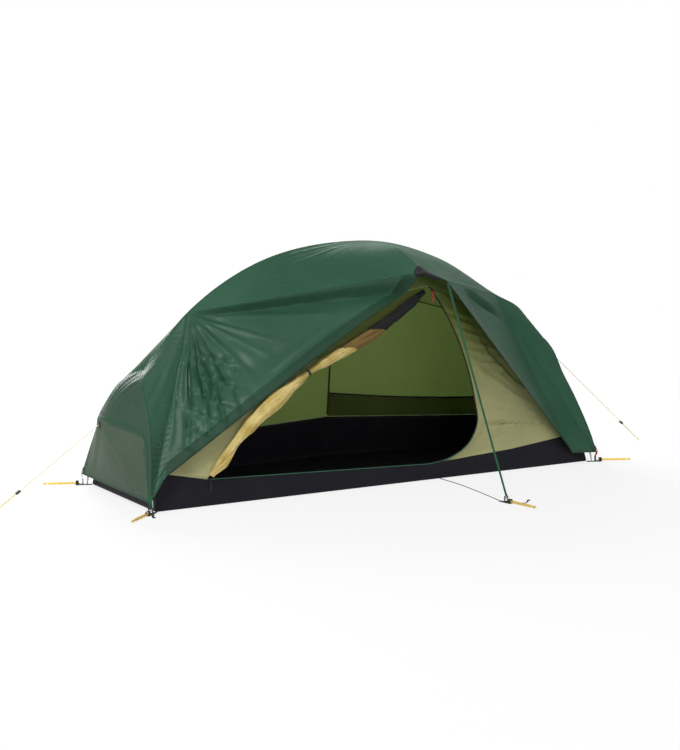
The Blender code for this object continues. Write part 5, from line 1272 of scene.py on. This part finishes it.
COIL_STEPS, COIL_FOOT, COIL_RADIUS, TEETH_RISE, PIPING_RADIUS = 900, 0.185, 0.00078, 0.00016, 0.0019


def make_zip(c):
    """The door's zip round its free edge, with green piping from the corner along the rim."""
    rim = straight(c["front_right"][0], c["front_left"][-1], 80)
    path = even(join(c["zip"], rim), 420)
    path[:, 1] = ZIP_Y
    front = at(0, -1, 0)
    made = ribbon("door_zip_tape", path, front, ZIP_WIDTH, 0.0007, "black_tape")
    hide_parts("door_zip")
    low = np.nonzero(path[:, 2] < COIL_FOOT)[0][0]
    coil = even(path[: low + 1] + front * 0.0006, COIL_STEPS)
    teeth = COIL_RADIUS + TEETH_RISE * np.sin(np.arange(COIL_STEPS + 1) * 1.6)
    round_rod("door_zip_coil", coil, teeth, "black_web", 6)
    cord = even(path[low:], 300)
    cord[:, 1] = ZIP_Y - ZIP_DEPTH + 0.0021
    round_rod("door_piping", cord, PIPING_RADIUS, "piping")


# The groundsheet: the bend at the walls' foot, the folds' depth, and its two seams
TUB_FINE, TUB_BEND, TUB_LIFT, TUB_FOLDS, TUB_RIPPLE = 6, 0.010, 0.0006, 0.0045, 0.006
TUB_SEAMS = ((-0.247, 0.078), (0.247, 0.062))


def make_tub():
    """The groundsheet: a floor whose walls stand up all round, one sheet folded like a tray."""
    rings = []
    for ring in tub_rim()[:2]:
        closed = np.vstack([ring, ring[:1]])
        parts = [straight(a, b, TUB_FINE)[:-1] for a, b in zip(closed, closed[1:])]
        rings.append(np.vstack([*parts, closed[:1]]))
    foot, top = rings
    tangent = unit(np.roll(foot[:-1], -1, axis=0) - np.roll(foot[:-1], 1, axis=0))
    inward = np.stack([-tangent[:, 1], tangent[:, 0], 0 * tangent[:, 0]], axis=1)
    inward = np.vstack([inward, inward[:1]])
    rows = [top * (1 - t) + (foot + UP * TUB_BEND) * t for t in np.linspace(0, 1, 13)]
    for t in np.linspace(0, math.pi / 2, 5)[1:]:
        up = TUB_BEND * (1 - math.sin(t)) + TUB_LIFT * math.sin(t)
        rows.append(foot + UP * up + inward * TUB_BEND * (1 - math.cos(t)))
    wall = np.stack(rows, axis=1) + inward[:, None] * (TUB_CLOTH / 2)
    depth = np.concatenate([np.linspace(0, 1, 13), [1, 1, 1, 1]])[None]
    fade = smooth_step(depth * 3) * smooth_step((1 - depth) * 2.2)
    waves = rough(wall * at(1, 1, 0.5), 8.0, 31, 3)
    lines = np.sin(waves * 5 + wall[..., 0] * 20) * 0.35 + waves
    wall = wall + inward[:, None] * (fade * lines * TUB_FOLDS)[..., None]
    wall[-1] = wall[0]
    rim = wall[:, -1]
    front, end = sum(TUB_STEPS[:4]) * TUB_FINE, TUB_STEPS[4] * TUB_FINE
    back = rim[front + end : 2 * front + end + 1][::-1]
    left, right = rim[2 * front + end :][::-1], rim[front : front + end + 1]
    grid = coons(rim[: front + 1], back, left, right)
    ripple = np.abs(rough(grid * at(1, 1, 0), 5, 33, 4)) * rim_fade(grid, 0.06)
    grid = grid + UP * (ripple * TUB_RIPPLE)[..., None]
    panels = [(wall, 0, length_map(wall)), (grid, 0, flat_map(grid))]
    made = surface("tub_sheet", panels, ["tub"], TUB_CLOTH, sharp=60, away=(0, 0.03, -1))
    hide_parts("tub_floor")
    skin = skin_of(made)
    for k, (x, height) in enumerate(TUB_SEAMS):
        path = straight(at(x, -SIDE, 0.010), at(x, -SIDE, height), 13)
        tape(f"tub_seam_{k}", path, skin, 0.008, 0.0005, "tub_seam", TUB_CLOTH / 2)


# Webbing, cords and hardware

# Each corner's name, the way its peg points, the tab that comes down from the fly, and the side
# of the buckle that its webbing's loose tail leaves on
CORNERS = {
    (-1, -1): ("front_left", (-0.755, -0.656), "green_web", 1),
    (-1, 1): ("back_left", (-0.92, 0.39), "black_web", -1),
    (1, -1): ("front_right", (0.90, -0.43), "red_web", 1),
    (1, 1): ("back_right", (0.85, 0.53), "black_web", -1),
}
BUCKLE_X, BUCKLE_TOP = 0.018, 0.0292
# The tail's run from the buckle: outwards, to its side, and up
TAIL = (
    (BUCKLE_X + 0.006, 0.0135, 0.0032), (0.040, 0.020, 0.0016), (0.058, 0.030, 0.0011),
    (0.073, 0.041, 0.0013), (0.078, 0.045, 0.0034), (0.070, 0.039, 0.0042),
)


class Axes:
    """Axes at a point of the ground: outwards, across and up."""

    def __init__(self, origin, way):
        self.origin = origin
        self.out = unit(at(*way, 0))
        self.across = np.cross(UP, self.out)

    def at(self, x, y, z):
        return self.origin + self.out * x + self.across * y + UP * z


def make_corners():
    """What the photograph shows at each corner besides its buckle and peg: the tab that comes
    down from the fly, and the webbing's loose tail on the ground."""
    for (x_side, y_side), (name, way, finish, tail_side) in CORNERS.items():
        axes = Axes(at(x_side * (HALF + 0.018), y_side * (SIDE + 0.016), 0), way)
        corner = fly_corner(x_side, y_side)
        over = axes.at(BUCKLE_X, 0, BUCKLE_TOP)
        lapped = corner + at(-x_side * 0.006, -y_side * 0.006, 0.030)
        above = over + unit(corner - over) * 0.004
        path = spline([lapped, corner + axes.out * 0.0018, above, over], 16)
        ribbon("fly_tab_" + name, path, axes.out, 0.0145, 0.0014, finish)
        path = spline([axes.at(x, tail_side * y, z) for x, y, z in TAIL], 34)
        ribbon("strap_tail_" + name, path, UP, 0.0105, 0.0011, "black_web")


# A guy line's radius, half the gap between its two strands, and the radius of its loop
CORD_RADIUS, CORD_HALF_GAP, LOOP_RADIUS = 0.00125, 0.00375, 0.0077
# How far out each guy line reaches, and the share of its run at which its tensioner sits
GUY_REACH = {-1: (1.640, 0.78), 1: (1.732, 0.80)}


def cord_path(start, end, share):
    """A taut line from the fly to the ground, round its loop there and back up to its tensioner."""
    way = unit(end - start)
    half, wide = at(0, CORD_HALF_GAP, 0), at(0, LOOP_RADIUS, 0)
    hold = start + (end - start) * share
    turn = end - way * LOOP_RADIUS
    level = [hold + (turn - hold) * s for s in (0.66, 0.80)]
    main = [start - half, hold - half, *(p - half for p in level)]
    home = [*(p + half for p in level[::-1]), hold + half, hold - way * 0.012 + half]
    return spline([*main, turn - wide, end, turn + wide, *home], 300)


def make_guys(walls):
    """The guy lines, their knots, and the webbing patches that they pull on."""
    for side, word in SIDES:
        reach, share = GUY_REACH[side]
        end = at(side * reach, 0, CORD_RADIUS + 0.0004)
        pull = GUY_POINT[side]
        normal = grid_normals(walls["end_" + word])[GUY_ROW[side], ACROSS]
        start = pull + normal * (INNER_THICKNESS / 2 + GAP + CORD_RADIUS * 0.6)
        path = cord_path(start, end, share)
        made = cord_curve("guy_" + word, path, CORD_RADIUS, "line")
        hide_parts("guy_line_" + word)
        length_of(path)
        last = unit(path[-1] - path[-2])
        low, high = path[-1] - last * 0.0029, path[-1] + last * 0.0016
        toggle("guy_knot_" + word, low, high, 0.0014, 0.0010, "line", 8)
        patch = pull + normal * 0.0012
        loop = [patch + UP * 0.018, patch + normal * 0.002, patch - UP * 0.016]
        ribbon("guy_patch_" + word, spline(loop, 14), normal, 0.017, 0.0012, "black_web")


# The door strap's ground webbing: where its loop starts, its loose tail's run and its toggle
VESTIBULE, VESTIBULE_WAY, TOGGLE = (0.196, -0.872, 0), (0.11, -1.0), (0.080, 0.066, 0.0125)
VESTIBULE_TAIL = (
    (0.024, 0.013, 0.0034), (0.044, 0.024, 0.0014), (0.064, 0.040, 0.0012), (0.078, 0.058, 0.0040),
    (0.080, 0.064, 0.0110),
)
FLOOR_CORD_RADIUS = 0.0015


def make_vestibule():
    """The floor cord, and the tail and stitched ends of the webbing that holds the door out."""
    axes = Axes(at(*VESTIBULE), VESTIBULE_WAY)
    z = FLOOR_CORD_RADIUS + 0.0006
    start, end = at(0.262, -SIDE - GAP - 0.0005, z), axes.at(-0.015 - GAP * 3, 0, z)
    path = spline([start, at(0.258, -0.46, z), at(0.231, -0.66, z), end], 48)
    made = cord_curve("ground_cord", path, FLOOR_CORD_RADIUS, "dark_line")
    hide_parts("floor_cord")
    tuple(start)
    length_of(path)
    tail = spline([axes.at(*spot) for spot in VESTIBULE_TAIL], 34)
    ribbon("vestibule_tail", tail, UP + axes.out * 0.02, 0.0095, 0.0011, "black_web")
    spot, half = axes.at(*TOGGLE), axes.across * 0.008
    toggle("vestibule_toggle", spot - half, spot + half, 0.0022, 0.0006)
    points = np.array([tuple(v.co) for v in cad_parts["vestibule_strap"].data.vertices])
    crown = points[points[:, 2] > points[:, 2].max() - 0.004].mean(0)
    base = points[points[:, 2] < points[:, 2].min() + 0.004].mean(0)
    way, front = unit(crown - base), at(0, -1, 0)
    lap = crown + front * 0.0016
    lap = straight(lap - way * 0.006, lap + way * 0.016, 12)
    ribbon("strap_patch", lap, front, 0.0105, 0.0010, "green_web")
    for k, x in enumerate((-0.010, 0.014)):
        stem = crown + at(x, 0.004, 0.002)
        toggle(f"hood_toggle_{k}", stem, stem - UP * 0.020, 0.0016, 0.0008)
    under = axes.at(BUCKLE_X, 0, BUCKLE_TOP)
    foot = [base + way * 0.010 + front * 0.0014, base + front * 0.0016, under]
    ribbon("strap_foot", spline(foot, 12), front, 0.0095, 0.0009, "green_web")


# The finish of each of the frame's own nodes, by a word in its name
FINISHES = (
    ("vestibule_strap", "green_web"), ("peg", "gold"), ("buckle", "plastic"),
    ("strap", "black_web"), ("vestibule_loop", "black_web"),
    ("hub", "plastic"), ("pole", "alloy"), ("leg_", "alloy"), ("cross_bar", "alloy"),
    ("tensioner", "plastic"), ("zip_slider", "plastic"), ("zip_pull_upper", "red"),
    ("zip_pull_lower", "plastic"),
)


def finish_frame():
    """Gives the hardware that the frame brought its own finishes."""
    for name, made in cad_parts.items():
        found = next((finish for word, finish in FINISHES if word in name), None)
        if found:
            for slot in made.material_slots:
                slot.material = looks[found]


# Camera, lights and floor

# Fitted to the photograph through the floor's corners, the hubs and the ends of the guy lines
CAMERA_PLACE, CAMERA_TURN = (-3.400, -5.544, 1.224), (83.154, 0.0, -31.125)
CAMERA_LENS, CAMERA_SENSOR = 70.32, 36.0


def make_camera():
    data = bpy.data.cameras.new("camera")
    data.lens = CAMERA_LENS
    data.sensor_width = CAMERA_SENSOR
    data.sensor_fit = "AUTO"
    data.clip_end = 60.0
    made = link_object("camera", data)
    made.location = CAMERA_PLACE
    made.rotation_euler = [math.radians(a) for a in CAMERA_TURN]
    bpy.context.scene.camera = made


def area_light(name, place, target, size, power):
    data = bpy.data.lights.new(name, "AREA")
    data.shape = "SQUARE"
    data.size = size
    data.energy = power
    made = link_object(name, data)
    made.location = place
    made.rotation_euler = (Vector(target) - Vector(place)).to_track_quat("-Z", "Y").to_euler()


def seen_share(tree, share):
    """The share, for rays from the camera, gloss or glass; 0 for the light that falls on things."""
    path = node(tree, "LightPath")
    seen = sum_of(tree, "MAXIMUM", path.outputs["Is Camera Ray"], path.outputs["Is Glossy Ray"])
    seen = sum_of(tree, "MAXIMUM", seen, path.outputs["Is Transmission Ray"])
    return sum_of(tree, "MULTIPLY", seen, share)


# Each lamp's place, what it faces, its size in metres and its power in watts
LAMPS = {
    "key": ((-4.2, -2.6, 5.4), (0, 0, 0.3), 2.2, 250),
    "fill": ((-1.6, -6.8, 1.6), (0, 0, 0.4), 2.6, 50),
    "back": ((0.8, 5.0, 3.0), (0, 0, 0.4), 3.6, 520),
}
SKY_COLOUR, SKY_STRENGTH, WHITE = (0.92, 0.95, 1.0, 1), 0.30, (1, 1, 1, 1)
FLOOR_SIZE, FLOOR_DROP, FLOOR_GREY = 60, 0.0005, 0.90
# How white the floor looks by itself, near the tent and beyond it
WHITE_NEAR, WHITE_FAR = (1.6, 0.80), (4.5, 1.0)


def make_stage():
    """A pale floor that keeps the shadow, and soft light from above and the camera's left."""
    world = bpy.data.worlds.new("studio")
    bpy.context.scene.world = world
    world.use_nodes = True
    tree = world.node_tree
    sky = tree.nodes["Background"]
    sky.inputs["Color"].default_value = SKY_COLOUR
    sky.inputs["Strength"].default_value = SKY_STRENGTH
    seen = node(tree, "Background", {"Color": WHITE, "Strength": 1.0})
    mix_shaders(tree, seen_share(tree, 1.0), sky, seen, "World Output")
    bpy.ops.mesh.primitive_plane_add(size=FLOOR_SIZE, location=(0, 0, -FLOOR_DROP))
    floor = bpy.context.object
    floor.name = "studio_floor"
    made, tree, shader = new_material("studio_floor_paint", 0.9, specular=0.1)
    shader.inputs["Base Color"].default_value = (FLOOR_GREY, FLOOR_GREY, FLOOR_GREY, 1)
    white = node(tree, "Emission", {"Color": WHITE, "Strength": 1.0})
    place = node(tree, "TexCoord").outputs["Object"]
    far = node(tree, "VectorMath", {0: place}, operation="LENGTH").outputs["Value"]
    levels = dict(zip(("From Min", "To Min", "From Max", "To Max"), WHITE_NEAR + WHITE_FAR))
    whiter = node(tree, "MapRange", {"Value": far, **levels}).outputs["Result"]
    mix_shaders(tree, seen_share(tree, whiter), shader, white)
    floor.data.materials.append(made)
    for name, (place, target, size, power) in LAMPS.items():
        area_light(name, place, target, size, power)


bpy.context.scene.view_settings.view_transform = "Standard"
make_camera()
make_stage()
looks = make_materials()
curves, fly = make_fly()
make_hood(fly)
inner = make_inner()
make_roll(inner["hinge"])
make_zip(inner)
make_tub()
make_corners()
make_guys(fly_grids(curves))
make_vestibule()
finish_frame()
